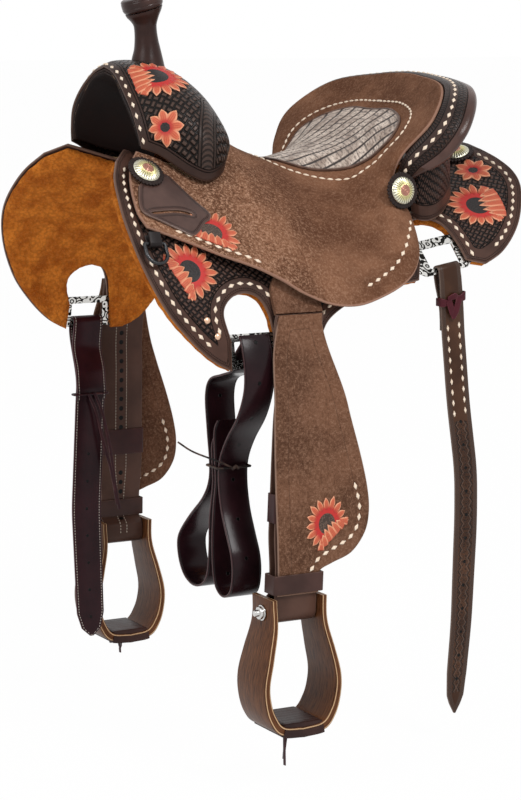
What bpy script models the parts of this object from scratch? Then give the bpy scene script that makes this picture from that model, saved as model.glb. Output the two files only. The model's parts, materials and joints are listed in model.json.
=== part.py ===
"""Cow horse saddle, built as separate solids: tree, seat, skirts, rigging, stirrups and straps.

Metres, +Z up. X runs fore and aft with the horn at -X; the near (left) side is -Y.
The origin is on the centre plane, in the horse's channel under the middle of the seat.
Half shapes are drawn for +Y and mirrored: `side` is -1 for near and +1 for far.
"""
import math

import bmesh
import bpy
import numpy as np
from mathutils import Vector
from mathutils.geometry import delaunay_2d_cdt

CM = 0.01
SIDES = (("near", -1), ("far", 1))

# Leather, wool and metal thicknesses
GAP = 0.0004
SKIRT_LEATHER = 0.005
SEAT_LEATHER = 0.005
COVER_LEATHER = 0.0045
LINER_LEATHER = 0.003
FLEECE_DEPTH = 0.013
PLATE_METAL = 0.003
STRAP_LEATHER = 0.003
FENDER_LEATHER = 0.0036

# Tree
BAR_THICKNESS = 0.014
BAR_TIP_THICKNESS = 0.007
GROUND_SEAT_DEPTH = 0.007
CANTLE_CORE_DEPTH = 0.014

# Horn
HORN_BASE = (-0.181, 0.186)
HORN_LEAN = -0.09
HORN_HEIGHT = 0.071
HORN_NECK_RADIUS = 0.0165
HORN_BASE_RADIUS = 0.0235
HORN_CORE_RADIUS = 0.009
HORN_CAP_RADIUS = 0.0295
HORN_CAP_DEPTH = 0.021
HORN_CAP_TILT = 0.30

# Conchos with their leather rosettes
CONCHO_RADIUS = 0.0195
ROSETTE_RADIUS = 0.0265
ROSETTE_THICKNESS = 0.003
CONCHO_DOME = 0.005

# Rigging plates: two wings, an upper web and a lower bar with the strap slot between;
# each plate by its bar's middle (x, z), tilt and height of the bar
PLATE_HALF_LENGTH = 0.058
PLATE_SLOT_HALF = 0.0262
PLATE_WAIST_HALF = 0.036
PLATE_HEIGHT = 0.046
PLATE_WEB = 0.010
BAR_CLEARANCE = 0.0011
FRONT_PLATE = (-0.157, -0.2150, 0.0, 0.012)
REAR_PLATE = (0.1755, -0.1040, 0.15, 0.008)

# Stirrup leathers, fenders and stirrups
LEATHER_WIDTH = 0.072
LEATHER_X = -0.0875
SWING_PIVOT = (0.2564, -0.1276)
SWING_TILT = math.radians(27.4)
LIFT_HEIGHT = -0.152
FENDER_TOP_Y = 0.282
HANG_DEPTH = 0.12
HANG = {"near": (0.317, -0.028), "far": (0.3025, -0.008)}
PLY_SETBACK = 0.0056
PLY_SPREAD = 0.0158
BOLT_SPREAD = 0.0286
BOLT_HEIGHT = -0.550
BOLT_RADIUS = 0.0039
BOLT_SLEEVE_RADIUS = 0.0122
NECK_WIDTH = 0.0645
SLEEVE_WALL = 0.0014
SLEEVE_HEIGHT = 0.039
SLEEVE_Z = -0.408
HOBBLE_Z = -0.5105
HOBBLE_WIDTH = 0.026
STIRRUP_DEPTH = 0.080
TREAD_WIDTH = 0.066
BOW_STEPS = 15
TREAD_LACE = {"near": (0.0, 0.055), "far": (-0.016, 0.018)}

# Hanging straps
LATIGO_WIDTH = 0.045
LATIGO_SHIFT = -0.0032
LATIGO_STEPS = 32
TIE_Z = -0.364
TIE_SPAN = (0.1880, 0.2205)
OFF_BILLET_WIDTH = 0.048
OFF_BILLET_Y = 0.2360
OFF_BILLET_END = -0.696
REAR_BILLET_WIDTH = 0.038
REAR_BILLET_END = {"near": -0.750, "far": -0.700}
CORD_RADIUS = 0.0016


def cm(*rows):
    return np.array(rows, float) * CM


# Cross-sections of the skirts' outer face, (half width, height), from the spine outwards
SKIRT_STATIONS = (-0.28, 0.0, 0.32)
SKIRT_SECTIONS = (
    cm((0, 10.5), (6, 9.4), (10, 7), (14.2, 3), (18.5, -1), (22, -5), (24.2, -9), (25.6, -13),
       (26.6, -17), (27.5, -22)),
    cm((0, 0.5), (6, 0), (10.5, -1.4), (15, -3.5), (19, -6.1), (22, -8.7), (24.2, -11.5),
       (25.6, -14.5), (26.5, -18), (27.4, -22)),
    cm((0, 6.2), (5, 5.6), (10, 3.6), (14, 1.2), (17.5, -1.4), (20, -4), (22, -7.2), (23.6, -10.8),
       (24.8, -14.5), (25.6, -18)),
)

# Skirt outline in side view (x, z), after the top edge, which is given as (x, half width)
SKIRT_TOP = cm((32.6, 0.06), (27, 0.06), (20, 3.0), (8, 5.0), (-6, 5.4), (-16, 7.0), (-23, 8.6), (-26.4, 9.4))
SKIRT_FRONT = cm((-28.9, 5.3), (-30.4, 3.2), (-31.2, 0.8), (-31.6, -2.2), (-31.3, -5.4), (-30.4, -8.8),
                 (-29, -12.2), (-27.2, -15.3), (-24.8, -18.2), (-22, -20.8), (-19.2, -22.5))
SKIRT_FRONT_NOTCH = cm((-18.9, -18.5), (-19.6, -14.8), (-18.3, -12.9), (-16.1, -12.2), (-14.1, -12.9),
                       (-12.9, -15), (-12.3, -18.6), (-11.9, -22.5))
SKIRT_BELLY = cm((-9.8, -22.4), (-7.2, -21.1), (-5.2, -18.9), (-3.4, -16.4), (0, -14.5), (5.4, -12.8), (12.2, -11.9))
SKIRT_REAR_NOTCH = cm((13.2, -9.6), (13.1, -6.6), (14.6, -4.5), (17.2, -3.8), (19.4, -4.6), (20.3, -7.2),
                      (20.8, -9.5))
SKIRT_REAR = cm((24, -10.2), (26.9, -8.9), (29.4, -7), (31.6, -4.6), (33.4, -1.9), (34.7, 0.6), (34.9, 2.4),
                (34.2, 4), (33.3, 5.3))

# The seat: control rows from the front edge of the jockeys back to the cantle rim,
# each from the swell's foot or the centre line out to the jockey's lower edge
SEAT_ROWS = np.array([
    cm((-25.6, 11.6, 6.5), (-27.2, 13.4, 5.1), (-28.3, 15.2, 3.5), (-29, 17, 1.9), (-29.4, 18.7, 0.3),
       (-29.5, 20.3, -1.4), (-28.9, 21.8, -3.1)),
    cm((-22, 12.2, 5.2), (-22.4, 13.6, 4), (-22.8, 15.1, 2.7), (-23.1, 16.8, 1.1), (-23.4, 18.7, -0.8),
       (-23.6, 20.8, -2.9), (-23.9, 22.9, -5)),
    cm((-18.3, 13.4, 2.9), (-18.5, 14.7, 1.8), (-18.7, 16.2, 0.5), (-18.9, 18, -1.1), (-19, 20, -3),
       (-19.1, 22.1, -5), (-19.1, 24.4, -7)),
    cm((-14.4, 12.6, 2.9), (-14.5, 14.3, 1.6), (-14.6, 16.2, 0.1), (-14.7, 18.3, -1.7), (-14.7, 20.7, -3.9),
       (-14.6, 23.2, -6.3), (-14.4, 25.7, -8.8)),
    cm((-11.6, 9, 5.9), (-11.7, 11.4, 4), (-11.7, 14, 1.8), (-11.7, 16.7, -0.6), (-11.6, 19.7, -3.5),
       (-11.4, 23.1, -6.8), (-11.1, 26.8, -10.5)),
    cm((-10.2, 0, 9), (-10.2, 4.6, 7.9), (-10, 8.8, 5.7), (-9.8, 12.9, 2.8), (-9.5, 17, -0.8),
       (-9, 21.8, -5.5), (-8.3, 27.6, -12.3)),
    cm((-5.6, 0, 6.4), (-5.5, 4.4, 5.7), (-5.4, 8.8, 3.8), (-5.3, 13.2, 1.1), (-5.1, 17.6, -2.5),
       (-4.7, 22.5, -7.2), (-4.2, 28.1, -14)),
    cm((-0.5, 0, 4.4), (-0.5, 4.4, 4), (-0.5, 8.8, 2.4), (-0.4, 13.2, -0.1), (-0.3, 17.8, -3.6),
       (-0.2, 22.8, -8.2), (0, 28.2, -14.4)),
    cm((4, 0, 4), (3.9, 4.4, 3.7), (3.8, 8.8, 2.3), (3.7, 13.2, -0.1), (3.6, 17.8, -3.5), (3.8, 22.6, -8),
       (4, 27.8, -13.5)),
    cm((8.6, 0, 4.7), (8.4, 4.4, 4.5), (7.9, 8.8, 3.4), (7.4, 13, 1.3), (7.1, 17.2, -1.8), (7.4, 21.8, -6.2),
       (8, 27, -12)),
    cm((13, 0, 6.5), (12.7, 4.4, 6.3), (11.7, 8.8, 5.3), (10.4, 12.8, 3.6), (9.5, 16.6, 1), (9.8, 20.6, -3),
       (10.6, 25.8, -10.4)),
    cm((17, 0, 9.2), (16.6, 4.4, 9), (15.2, 9.2, 8), (13, 13.4, 6.2), (11.1, 16.2, 3.8), (11.3, 18.6, -0.2),
       (12.5, 23.9, -8.2)),
    cm((20.5, 0, 12.6), (20.1, 5, 12.3), (18.3, 11.4, 11), (15.3, 16, 8.9), (12, 17.6, 5.4), (12, 17.6, 1),
       (13.6, 21.4, -6)),
    cm((23.9, 0, 16.6), (23.4, 5.6, 16.3), (20.9, 15.9, 14.9), (16.2, 20.9, 10.4), (12.5, 18.9, 5.3),
       (12.4, 17.2, 1.2), (14.3, 18.4, -3)),
])

# The swell's leather: rows from the gullet's front edge to the rear foot, top centre to foot
SWELL_ROWS = np.array([
    cm((-25.1, 0, 18), (-25.2, 3.4, 17), (-25.5, 7.1, 14.5), (-25.5, 9.8, 11.8), (-25.2, 11.1, 9), (-24.9, 11.7, 6.8)),
    cm((-23.4, 0, 18.6), (-23.3, 4, 17.8), (-23.2, 8.3, 15.4), (-23.1, 11.3, 12.4), (-22.9, 12.7, 9),
       (-22.6, 13, 5.7)),
    cm((-20, 0, 18.6), (-20, 4.6, 18), (-19.9, 9.4, 15.8), (-19.8, 13, 12.4), (-19.6, 14.6, 8.3), (-19.4, 14.6, 3.3)),
    cm((-16.6, 0, 17.6), (-16.5, 4.8, 17), (-16.4, 10, 14.8), (-16.4, 13.8, 11.2), (-16.4, 15.6, 7),
       (-16.5, 15.1, 2.2)),
    cm((-14, 0, 15.6), (-13.9, 4.8, 15), (-13.7, 9.6, 13.1), (-13.5, 13, 10), (-13.5, 14.4, 6.8), (-13.6, 13.9, 3.0)),
    cm((-12, 0, 12.7), (-11.9, 4.5, 12), (-11.7, 8.6, 10.5), (-11.6, 11.5, 8.6), (-11.7, 12.6, 6.8), (-12.2, 12.2, 4.6)),
    cm((-10.9, 0, 10.1), (-10.9, 4.2, 9.3), (-10.9, 7.4, 8.2), (-11.1, 9.4, 7.3), (-11.5, 10.4, 6.6), (-12, 10.8, 5.9)),
])

# The gullet under the swell: rows from the front edge back, top centre to foot
GULLET_ROWS = np.array([
    cm((-25, 0, 16.9), (-25.1, 3.3, 16), (-25.3, 6.2, 13.6), (-25.3, 8.8, 11), (-25, 10, 8.8), (-24.6, 10.5, 7.2)),
    cm((-21, 0, 14.9), (-21, 3.4, 14.1), (-21, 6.5, 12), (-21, 8.8, 9.5), (-21, 9.8, 7.4), (-21, 10.1, 5.9)),
    cm((-17, 0, 12), (-17, 3.3, 11.4), (-17, 6.2, 9.8), (-17, 8.2, 7.7), (-17, 9, 6), (-17, 9.3, 4.8)),
    cm((-13.2, 0, 8.6), (-13.2, 3, 8.1), (-13.2, 5.6, 7), (-13.2, 7.4, 5.5), (-13.2, 8.25, 4.2), (-13.2, 8.62, 3.33)),
])

# The cantle: rim where the seat ends, outer edge of the roll, and foot of the back, from the centre out
CANTLE_RIM = cm((23.9, 0, 16.6), (23.4, 5.6, 16.3), (22.4, 11.2, 15.8), (20.9, 15.9, 14.9), (19, 19, 13.2),
                (16.6, 20.8, 10.8), (14.7, 20.8, 8.3), (12.9, 19.4, 6), (12.3, 18, 4), (12.4, 17.1, 2.2))
ROLL_EDGE = cm((28.4, 0, 16), (28, 6.4, 15.8), (26.6, 13, 15.2), (24.9, 18, 14.4), (22.9, 21.4, 12.8),
               (20.9, 23, 10.2), (18.4, 23.5, 7.9), (15.8, 22.2, 5.7), (14.5, 20.6, 4.2), (14.2, 19, 2.6))
CANTLE_FOOT = cm((27.2, 0), (26.4, 5.2), (25.2, 10.2), (23.6, 14), (21.3, 16.2), (19.2, 17.4), (17.6, 17.8),
                 (16.5, 17.6), (15.9, 17.1), (15.6, 16.6))

# Tree bars in plan: (x, distance of the bar's middle from the centre plane, half width)
BAR_PLAN = cm((-23.6, 11.2, 0.5), (-20.5, 10.6, 1.3), (-15, 9.8, 2.1), (-8, 9, 2.9), (2, 8.5, 3.2), (12, 8.4, 3.1),
              (19, 8.6, 2.4), (22.6, 8.6, 0.8))

# Fender outline (x from the leather's middle line, z)
FENDER_OUTLINE = cm((3.0, -15.2), (3.4, -17), (5.0, -22.3), (7.0, -28.5), (8.9, -34), (10.2, -38.5), (10.7, -42),
                    (10.2, -45), (8.2, -47.6), (5.2, -48.8), (3.4, -49.6), (3.1, -51), (3.1, -52.6),
                    (-3.1, -52.6), (-3.1, -50), (-3.4, -45), (-3.9, -39), (-4.4, -32), (-4.7, -26), (-4.4, -21),
                    (-3.8, -17.4), (-3.6, -15.2))

# Stirrup bow: half outlines (half width, z) from the top of a leg to the middle of the bottom
BOW_OUTER = cm((4.2, -52.9), (4.2, -56.4), (5.1, -60.2), (5.9, -63.8), (5.8, -66.6), (5, -69.2), (3.4, -71),
               (0, -71.4))
BOW_INNER = cm((3.46, -52.9), (3.45, -56.6), (4.3, -60.4), (5.02, -63.9), (4.9, -66.2), (4.25, -68.2), (2.9, -69.9),
               (0, -70.3))

# Latigo, folded in two loops and tied: its path in the (half width, z) plane, from the rigging eye
LATIGO_OUT = cm((27.9, -18.2), (28.5, -19.7), (29.1, -22.2), (28.9, -25.2), (27, -28.8), (23.9, -32.2),
                (22, -35.2), (21.6, -38.2), (22.4, -42), (24, -45.4), (25.3, -48), (25.6, -50.6), (24.8, -53),
                (22.8, -53.9), (20.8, -53), (19.9, -50.6), (19.7, -46.4), (20.1, -42), (20.7, -38.6), (20.5, -35.4),
                (20.3, -32.2), (20.2, -30.1))
LATIGO_IN = cm((24.9, -22.9), (22.2, -23.6), (19, -24.6), (17.8, -27), (18.3, -31.6), (19, -36), (18.7, -38.8),
               (16.8, -41.4), (13, -44.4), (10, -47.2), (9.2, -49), (9.8, -51.4), (11.4, -53.2), (14, -54), (16.6, -53.4),
               (18.2, -51.6), (18.8, -48), (18.9, -44), (19.4, -41.5), (19.9, -38.6), (19.7, -35.4), (19.4, -32.2))


# Curves and control nets

def catmull(values, position):
    """Catmull-Rom value at fractional index `position` along the first axis of `values`."""
    last = len(values) - 1
    start = np.clip(np.floor(position).astype(int), 0, last - 1)
    f = (position - start).reshape(position.shape + (1,) * (values.ndim - 1))
    before, here, there, after = (values[np.clip(start + k, 0, last)] for k in (-1, 0, 1, 2))
    shape = start.reshape(f.shape)
    before = np.where(shape == 0, 2 * here - there, before)
    after = np.where(shape == last - 1, 2 * there - here, after)
    return 0.5 * (2 * here + (there - before) * f + (2 * before - 5 * here + 4 * there - after) * f ** 2
                  + (3 * here - before - 3 * there + after) * f ** 3)


def net_point(net, u, v):
    """Point of a control net at row position u and column position v, for arrays u and v."""
    rows = catmull(net, u)
    last = net.shape[1] - 1
    start = np.clip(np.floor(v).astype(int), 0, last - 1)
    f = (v - start)[:, None]
    pick = np.arange(len(v))
    before, here, there, after = (rows[pick, np.clip(start + k, 0, last)] for k in (-1, 0, 1, 2))
    before = np.where((start == 0)[:, None], 2 * here - there, before)
    after = np.where((start == last - 1)[:, None], 2 * there - here, after)
    return 0.5 * (2 * here + (there - before) * f + (2 * before - 5 * here + 4 * there - after) * f ** 2
                  + (3 * here - before - 3 * there + after) * f ** 3)


def smooth(points, count):
    """Evenly spaced points on the smooth curve through `points`."""
    points = np.asarray(points, float)
    fine = catmull(points, np.linspace(0, len(points) - 1, 24 * len(points)))
    length = np.concatenate([[0], np.cumsum(np.linalg.norm(np.diff(fine, axis=0), axis=1))])
    wanted = np.linspace(0, length[-1], count)
    return np.stack([np.interp(wanted, length, fine[:, k]) for k in range(fine.shape[1])], 1)


def ease(value):
    value = np.clip(value, 0, 1)
    return value * value * (3 - 2 * value)


def unit(vectors):
    return vectors / np.linalg.norm(vectors, axis=-1, keepdims=True)


class Face:
    """A curved face of the saddle's +Y half, with positions (u, v) and a lift along its normal."""

    def __init__(self, point, limits):
        self.point = point
        self.limits = limits

    def normal(self, u, v):
        step = 1e-3
        along = self.point(u + step, v) - self.point(u - step, v)
        across = self.point(u, v + step) - self.point(u, v - step)
        centred = np.abs(self.point(u, v)[:, 1]) < 1e-6
        along[centred, 1] = 0
        across[centred] = (0, 1, 0)
        return unit(np.cross(along, across))

    def at(self, u, v, lift):
        u, v = np.atleast_1d(np.asarray(u, float)), np.atleast_1d(np.asarray(v, float))
        return self.point(u, v) + self.normal(u, v) * np.reshape(lift, (-1, 1))

    def find(self, targets, axes):
        """Positions (u, v) whose coordinates along `axes` are the targets', by Newton's steps."""
        targets = np.atleast_2d(targets)
        (u0, u1), (v0, v1) = self.limits
        grid_u, grid_v = (g.ravel() for g in np.meshgrid(np.linspace(u0, u1, 60), np.linspace(v0, v1, 60)))
        seen = self.point(grid_u, grid_v)[:, axes]
        nearest = np.argmin(((targets[:, None] - seen[None]) ** 2).sum(2), axis=1)
        u, v = grid_u[nearest], grid_v[nearest]
        step = 1e-4
        for _ in range(8):
            here = self.point(u, v)[:, axes]
            along_u = (self.point(u + step, v)[:, axes] - here) / step
            along_v = (self.point(u, v + step)[:, axes] - here) / step
            off = targets - here
            area = along_u[:, 0] * along_v[:, 1] - along_u[:, 1] * along_v[:, 0]
            area = np.where(np.abs(area) < 1e-9, 1e-9, area)
            u = np.clip(u + (off[:, 0] * along_v[:, 1] - off[:, 1] * along_v[:, 0]) / area, u0, u1)
            v = np.clip(v + (along_u[:, 0] * off[:, 1] - along_u[:, 1] * off[:, 0]) / area, v0, v1)
        return np.stack([u, v], 1)


def skirt_point(x, v):
    a, b, c = SKIRT_STATIONS
    weights = ((x - b) * (x - c) / ((a - b) * (a - c)), (x - a) * (x - c) / ((b - a) * (b - c)),
               (x - a) * (x - b) / ((c - a) * (c - b)))
    section = sum(w[:, None] * catmull(s, v) for w, s in zip(weights, SKIRT_SECTIONS))
    return np.column_stack([x, section])


def net_face(net):
    def point(u, v):
        found = net_point(net, u, v)
        found[:, 1] = np.maximum(found[:, 1], 0)
        return found
    return Face(point, ((0, net.shape[0] - 1), (0, net.shape[1] - 1)))


SKIRT = Face(skirt_point, ((-0.33, 0.37), (0, 9)))
SEAT = net_face(SEAT_ROWS)
SWELL = net_face(SWELL_ROWS)
GULLET = net_face(GULLET_ROWS)
SIDE_VIEW = [0, 2]
PLAN = [0, 1]


# Making solids

def material(name, colour, roughness, metallic=0.0):
    made = bpy.data.materials.get(name)
    if made is None:
        made = bpy.data.materials.new(name)
        made.use_nodes = True
        shader = made.node_tree.nodes["Principled BSDF"]
        shader.inputs["Base Color"].default_value = (*colour, 1)
        shader.inputs["Roughness"].default_value = roughness
        shader.inputs["Metallic"].default_value = metallic
    return made


def rough_out():
    return material("rough_out_leather", (0.13, 0.062, 0.036), 0.95)


def tooled():
    return material("tooled_leather", (0.032, 0.018, 0.014), 0.5)


def smooth_leather():
    return material("smooth_leather", (0.055, 0.024, 0.018), 0.42)


def burgundy():
    return material("burgundy_leather", (0.045, 0.010, 0.014), 0.4)


def wool():
    return material("fleece", (0.46, 0.14, 0.02), 1.0)


def wood():
    return material("tree_wood", (0.42, 0.27, 0.14), 0.7)


def walnut():
    return material("walnut", (0.11, 0.042, 0.018), 0.35)


def steel():
    return material("engraved_steel", (0.56, 0.55, 0.52), 0.3, 1.0)


def silver():
    return material("silver", (0.78, 0.74, 0.60), 0.22, 1.0)


def add_object(name, vertices, faces, finish, pivot=None):
    """A closed solid turned outwards, with its origin on `pivot` where one is given."""
    mesh = bpy.data.meshes.new(name)
    work = bmesh.new()
    made = [work.verts.new(v) for v in vertices]
    for face in faces:
        work.faces.new([made[k] for k in face])
    bmesh.ops.remove_doubles(work, verts=work.verts, dist=1e-6)
    bmesh.ops.recalc_face_normals(work, faces=work.faces)
    if work.calc_volume(signed=True) < 0:
        bmesh.ops.reverse_faces(work, faces=work.faces)
    if pivot is not None:
        bmesh.ops.translate(work, verts=work.verts, vec=-Vector(pivot))
    work.to_mesh(mesh)
    work.free()
    mesh.materials.append(finish)
    mesh.shade_smooth()
    mesh.set_sharp_from_angle(angle=math.radians(40))
    solid = bpy.data.objects.new(name, mesh)
    if pivot is not None:
        solid.location = pivot
    bpy.context.scene.collection.objects.link(solid)
    return solid


def cut(solid, cutter):
    """Takes the cutter's space out of the solid; the cutter itself is only a tool."""
    cutter.hide_render = True
    cutter.display_type = "WIRE"
    trim = solid.modifiers.new("cut", "BOOLEAN")
    trim.operation = "DIFFERENCE"
    trim.solver = "EXACT"
    trim.object = cutter


def mirror(points, side):
    return np.asarray(points) * (1, side, 1)


def thick_sheet(name, outer, inner, faces, finish, pivot=None):
    """Closes the space between matching outer and inner points with walls at the sheet's edges."""
    count = len(outer)
    edges = {}
    for face in faces:
        for a, b in zip(face, face[1:] + face[:1]):
            if (b, a) in edges:
                del edges[(b, a)]
            else:
                edges[(a, b)] = True
    solid = [tuple(f) for f in faces] + [tuple(count + k for k in reversed(f)) for f in faces]
    solid += [(b, a, count + a, count + b) for a, b in edges]
    return add_object(name, np.vstack([outer, inner]), solid, finish, pivot)


def inside(points, ring):
    """Which points lie inside the closed ring, counting crossings."""
    x, y = points[:, 0][:, None], points[:, 1][:, None]
    x0, y0 = ring[:, 0], ring[:, 1]
    x1, y1 = np.roll(x0, -1), np.roll(y0, -1)
    rise = np.where(y1 == y0, 1e-12, y1 - y0)
    crosses = ((y0 > y) != (y1 > y)) & (x < (x1 - x0) * (y - y0) / rise + x0)
    return crosses.sum(1) % 2 == 1


def flat_mesh(rings, cells, scale, marks=()):
    """Triangles inside the first ring and outside the others, with a grid of points between.

    Edges also follow the marked rings, which are not holes.
    """
    rings = [np.asarray(r, float) * scale for r in rings]
    lines = rings + [np.asarray(r, float) * scale for r in marks]
    points = np.vstack(lines)
    edges, start = [], 0
    for ring in lines:
        n = len(ring)
        edges += [(start + k, start + (k + 1) % n) for k in range(n)]
        start += n
    low, high = points.min(0), points.max(0)
    grid = np.stack(np.meshgrid(np.arange(np.ceil(low[0] / cells[0]), high[0] / cells[0]) * cells[0],
                                np.arange(np.ceil(low[1] / cells[1]), high[1] / cells[1]) * cells[1]), -1)
    grid = grid.reshape(-1, 2)
    keep = inside(grid, rings[0])
    for ring in rings[1:]:
        keep &= ~inside(grid, ring)
    grid = grid[keep]
    if len(grid):
        ends = np.vstack([np.roll(r, -1, axis=0) for r in lines])
        along = ends - points
        share = ((grid[:, None] - points[None]) * along).sum(2) / np.maximum((along ** 2).sum(1), 1e-12)
        foot = points[None] + np.clip(share, 0, 1)[..., None] * along
        gap = np.linalg.norm((grid[:, None] - foot) / np.array(cells), axis=2).min(1)
        grid = grid[gap > 0.42]
    flat = np.vstack([points, grid])
    result = delaunay_2d_cdt([Vector(p) for p in flat], edges, [], 0, 1e-7)
    corners = np.array([tuple(v) for v in result[0]])
    faces = np.array([f for f in result[2]])
    middles = corners[faces].mean(1)
    keep = inside(middles, rings[0])
    for ring in rings[1:]:
        keep &= ~inside(middles, ring)
    used, faces = np.unique(faces[keep], return_inverse=True)
    faces = faces.reshape(-1, 3)
    return corners[used] / scale, [tuple(int(k) for k in f) for f in faces]


def laid(name, face, flat_faces, lifts, side, finish, pivot=None):
    """A sheet of flat (u, v) points and faces laid on a face between two lifts, clear of the centre."""
    flat, faces = flat_faces
    both = []
    for lift in lifts:
        points = face.at(flat[:, 0], flat[:, 1], lift)
        points[:, 1] = np.maximum(points[:, 1], 0.0006)
        both.append(mirror(points, side))
    return thick_sheet(name, *both, faces, finish, pivot)


def grid_faces(rows, columns, closed=False):
    faces = []
    for r in range(rows - 1):
        for c in range(columns if closed else columns - 1):
            d = (c + 1) % columns
            faces.append((r * columns + c, (r + 1) * columns + c, (r + 1) * columns + d, r * columns + d))
    return faces


def sheet_faces(rows, columns, middle=0):
    """Triangles of a grid; left of its middle column they mirror those on the right."""
    faces = []
    for r in range(rows - 1):
        for c in range(columns - 1):
            a, b = r * columns + c, (r + 1) * columns + c
            if c < middle:
                faces += [(a, b, a + 1), (b, b + 1, a + 1)]
            else:
                faces += [(a, b, b + 1), (a, b + 1, a + 1)]
    return faces


def arch(name, face, rows, columns, lifts, finish, inner_face=None):
    """A sheet over the centre line from the near foot to the far foot."""
    u, v = np.meshgrid(rows, np.concatenate([-columns[:0:-1], columns]), indexing="ij")
    far = np.where(v < 0, -1, 1).ravel()[:, None]
    u, v = u.ravel(), np.abs(v).ravel()
    both = []
    for which, lift in zip((face, inner_face or face), lifts):
        points = which.at(u, v, lift)
        both.append(np.column_stack([points[:, 0], points[:, 1:2] * far, points[:, 2]]))
    return thick_sheet(name, *both, sheet_faces(len(rows), 2 * len(columns) - 1, len(columns) - 1), finish)


def ribbon(name, path, across, width, thickness, finish, closed=False, pivot=None):
    """A flat strap along a path, as wide as `width` along `across`; both may vary along it."""
    path = np.asarray(path, float)
    across = np.broadcast_to(unit(np.asarray(across, float)), path.shape)
    width = np.broadcast_to(width, len(path))[:, None]
    if closed:
        tangent = unit(np.roll(path, -1, axis=0) - np.roll(path, 1, axis=0))
    else:
        tangent = unit(np.gradient(path, axis=0))
    out = unit(np.cross(tangent, across))
    corners = [path + sign_w * across * width / 2 + sign_t * out * thickness / 2
               for sign_w, sign_t in ((-1, -1), (1, -1), (1, 1), (-1, 1))]
    rings = np.stack(corners, 1)
    if closed:
        rings = np.concatenate([rings, rings[:1]])
    faces = grid_faces(len(rings), 4, closed=True)
    if not closed:
        last = (len(rings) - 1) * 4
        faces += [(0, 1, 2, 3), (last + 3, last + 2, last + 1, last)]
    return add_object(name, rings.reshape(-1, 3), faces, finish, pivot)


def tube(name, path, radius, sides, finish, closed=False, pivot=None):
    """A round bar or cord along a path."""
    path = np.asarray(path, float)
    if closed:
        tangent = unit(np.roll(path, -1, axis=0) - np.roll(path, 1, axis=0))
    else:
        tangent = unit(np.gradient(path, axis=0))
    out = np.cross(tangent[0], (0.31, 0.17, 0.93))
    frames = []
    for direction in tangent:
        out = unit(out - direction * (out @ direction))
        frames.append((out, np.cross(direction, out)))
    if closed:
        twist = math.atan2(frames[0][0] @ frames[-1][1], frames[0][0] @ frames[-1][0])
    turns = np.linspace(0, 2 * math.pi, sides, endpoint=False)
    rings = []
    for k, (middle, (a, b)) in enumerate(zip(path, frames)):
        angles = turns + (twist * k / len(path) if closed else 0)
        rings.append(middle + radius * (np.outer(np.cos(angles), a) + np.outer(np.sin(angles), b)))
    if closed:
        rings.append(rings[0])
    faces = grid_faces(len(rings), sides, closed=True)
    if not closed:
        last = (len(rings) - 1) * sides
        faces += [tuple(range(sides)), tuple(last + k for k in reversed(range(sides)))]
    return add_object(name, np.vstack(rings), faces, finish, pivot)


def turned(name, profile, origin, axis, sides, finish, pivot=None):
    """A solid of revolution closed at both ends: rows of (radius, height, scallop) about an axis."""
    axis = unit(np.asarray(axis, float))
    a = unit(np.cross(axis, (0.13, 0.31, 0.94)))
    b = np.cross(axis, a)
    angles = np.linspace(0, 2 * math.pi, sides, endpoint=False)
    points = []
    for radius, height, scallop in profile:
        wave = radius * (1 + scallop * (np.arange(sides) % 2))
        points.append(np.asarray(origin) + axis * height + np.outer(wave * np.cos(angles), a)
                      + np.outer(wave * np.sin(angles), b))
    last = (len(profile) - 1) * sides
    faces = grid_faces(len(profile), sides, closed=True)
    faces += [tuple(range(sides)), tuple(last + k for k in reversed(range(sides)))]
    return add_object(name, np.vstack(points), faces, finish, pivot)


# Skirts, fleece and rigging plates

V_SCALE = np.array([1, 0.045])
SKIRT_CELLS = (0.044, 0.032)


def on_skirt(points, axes, count=None):
    found = SKIRT.find(points, axes)
    return smooth(found * V_SCALE, count) / V_SCALE if count else found


def skirt_ring():
    parts = [on_skirt(SKIRT_TOP, PLAN, 20), on_skirt(SKIRT_FRONT, SIDE_VIEW, 18),
             on_skirt(SKIRT_FRONT_NOTCH, SIDE_VIEW, 13), on_skirt(SKIRT_BELLY, SIDE_VIEW, 12),
             on_skirt(SKIRT_REAR_NOTCH, SIDE_VIEW, 11), on_skirt(SKIRT_REAR, SIDE_VIEW, 12)]
    return np.vstack(parts)


def plate_frame(spot):
    """Maps (along, up) on a rigging plate to the side view."""
    x, z, tilt = spot[:3]
    c, s = math.cos(tilt), math.sin(tilt)
    return lambda flat: np.column_stack([x + flat[:, 0] * c - flat[:, 1] * s, z + flat[:, 0] * s + flat[:, 1] * c])


def plate_rings(spot, margin=0.0):
    foot = -spot[3] / 2
    top = foot + PLATE_HEIGHT
    half = PLATE_HALF_LENGTH
    side_edge = [(PLATE_WAIST_HALF, foot), (half - 0.007, foot + 0.009), (half, foot + 0.020),
                 (half, top - 0.008), (half - 0.007, top)]
    right = np.array(side_edge)
    left = right[::-1] * (-1, 1)
    mid_top = np.array([(k * half / 3, top) for k in (2, 1, 0, -1, -2)])
    mid_foot = np.array([(k * PLATE_WAIST_HALF / 3, foot) for k in (-2, -1, 0, 1, 2)])
    outline = np.vstack([right, mid_top, left, mid_foot])
    middle = np.array([0, (foot + top) / 2])
    if margin:
        outline = middle + (outline - middle) * (1 + margin / np.array([half, PLATE_HEIGHT / 2]))
    slot_foot, slot_top = foot + spot[3], top - PLATE_WEB
    w, r = PLATE_SLOT_HALF, 0.0015
    slot = np.array([(w, slot_foot + r), (w, slot_top - r), (w - r, slot_top), (w / 3, slot_top), (-w / 3, slot_top),
                     (r - w, slot_top), (-w, slot_top - r), (-w, slot_foot + r), (r - w, slot_foot),
                     (-w / 3, slot_foot), (w / 3, slot_foot), (w - r, slot_foot)])
    return outline, slot


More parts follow.
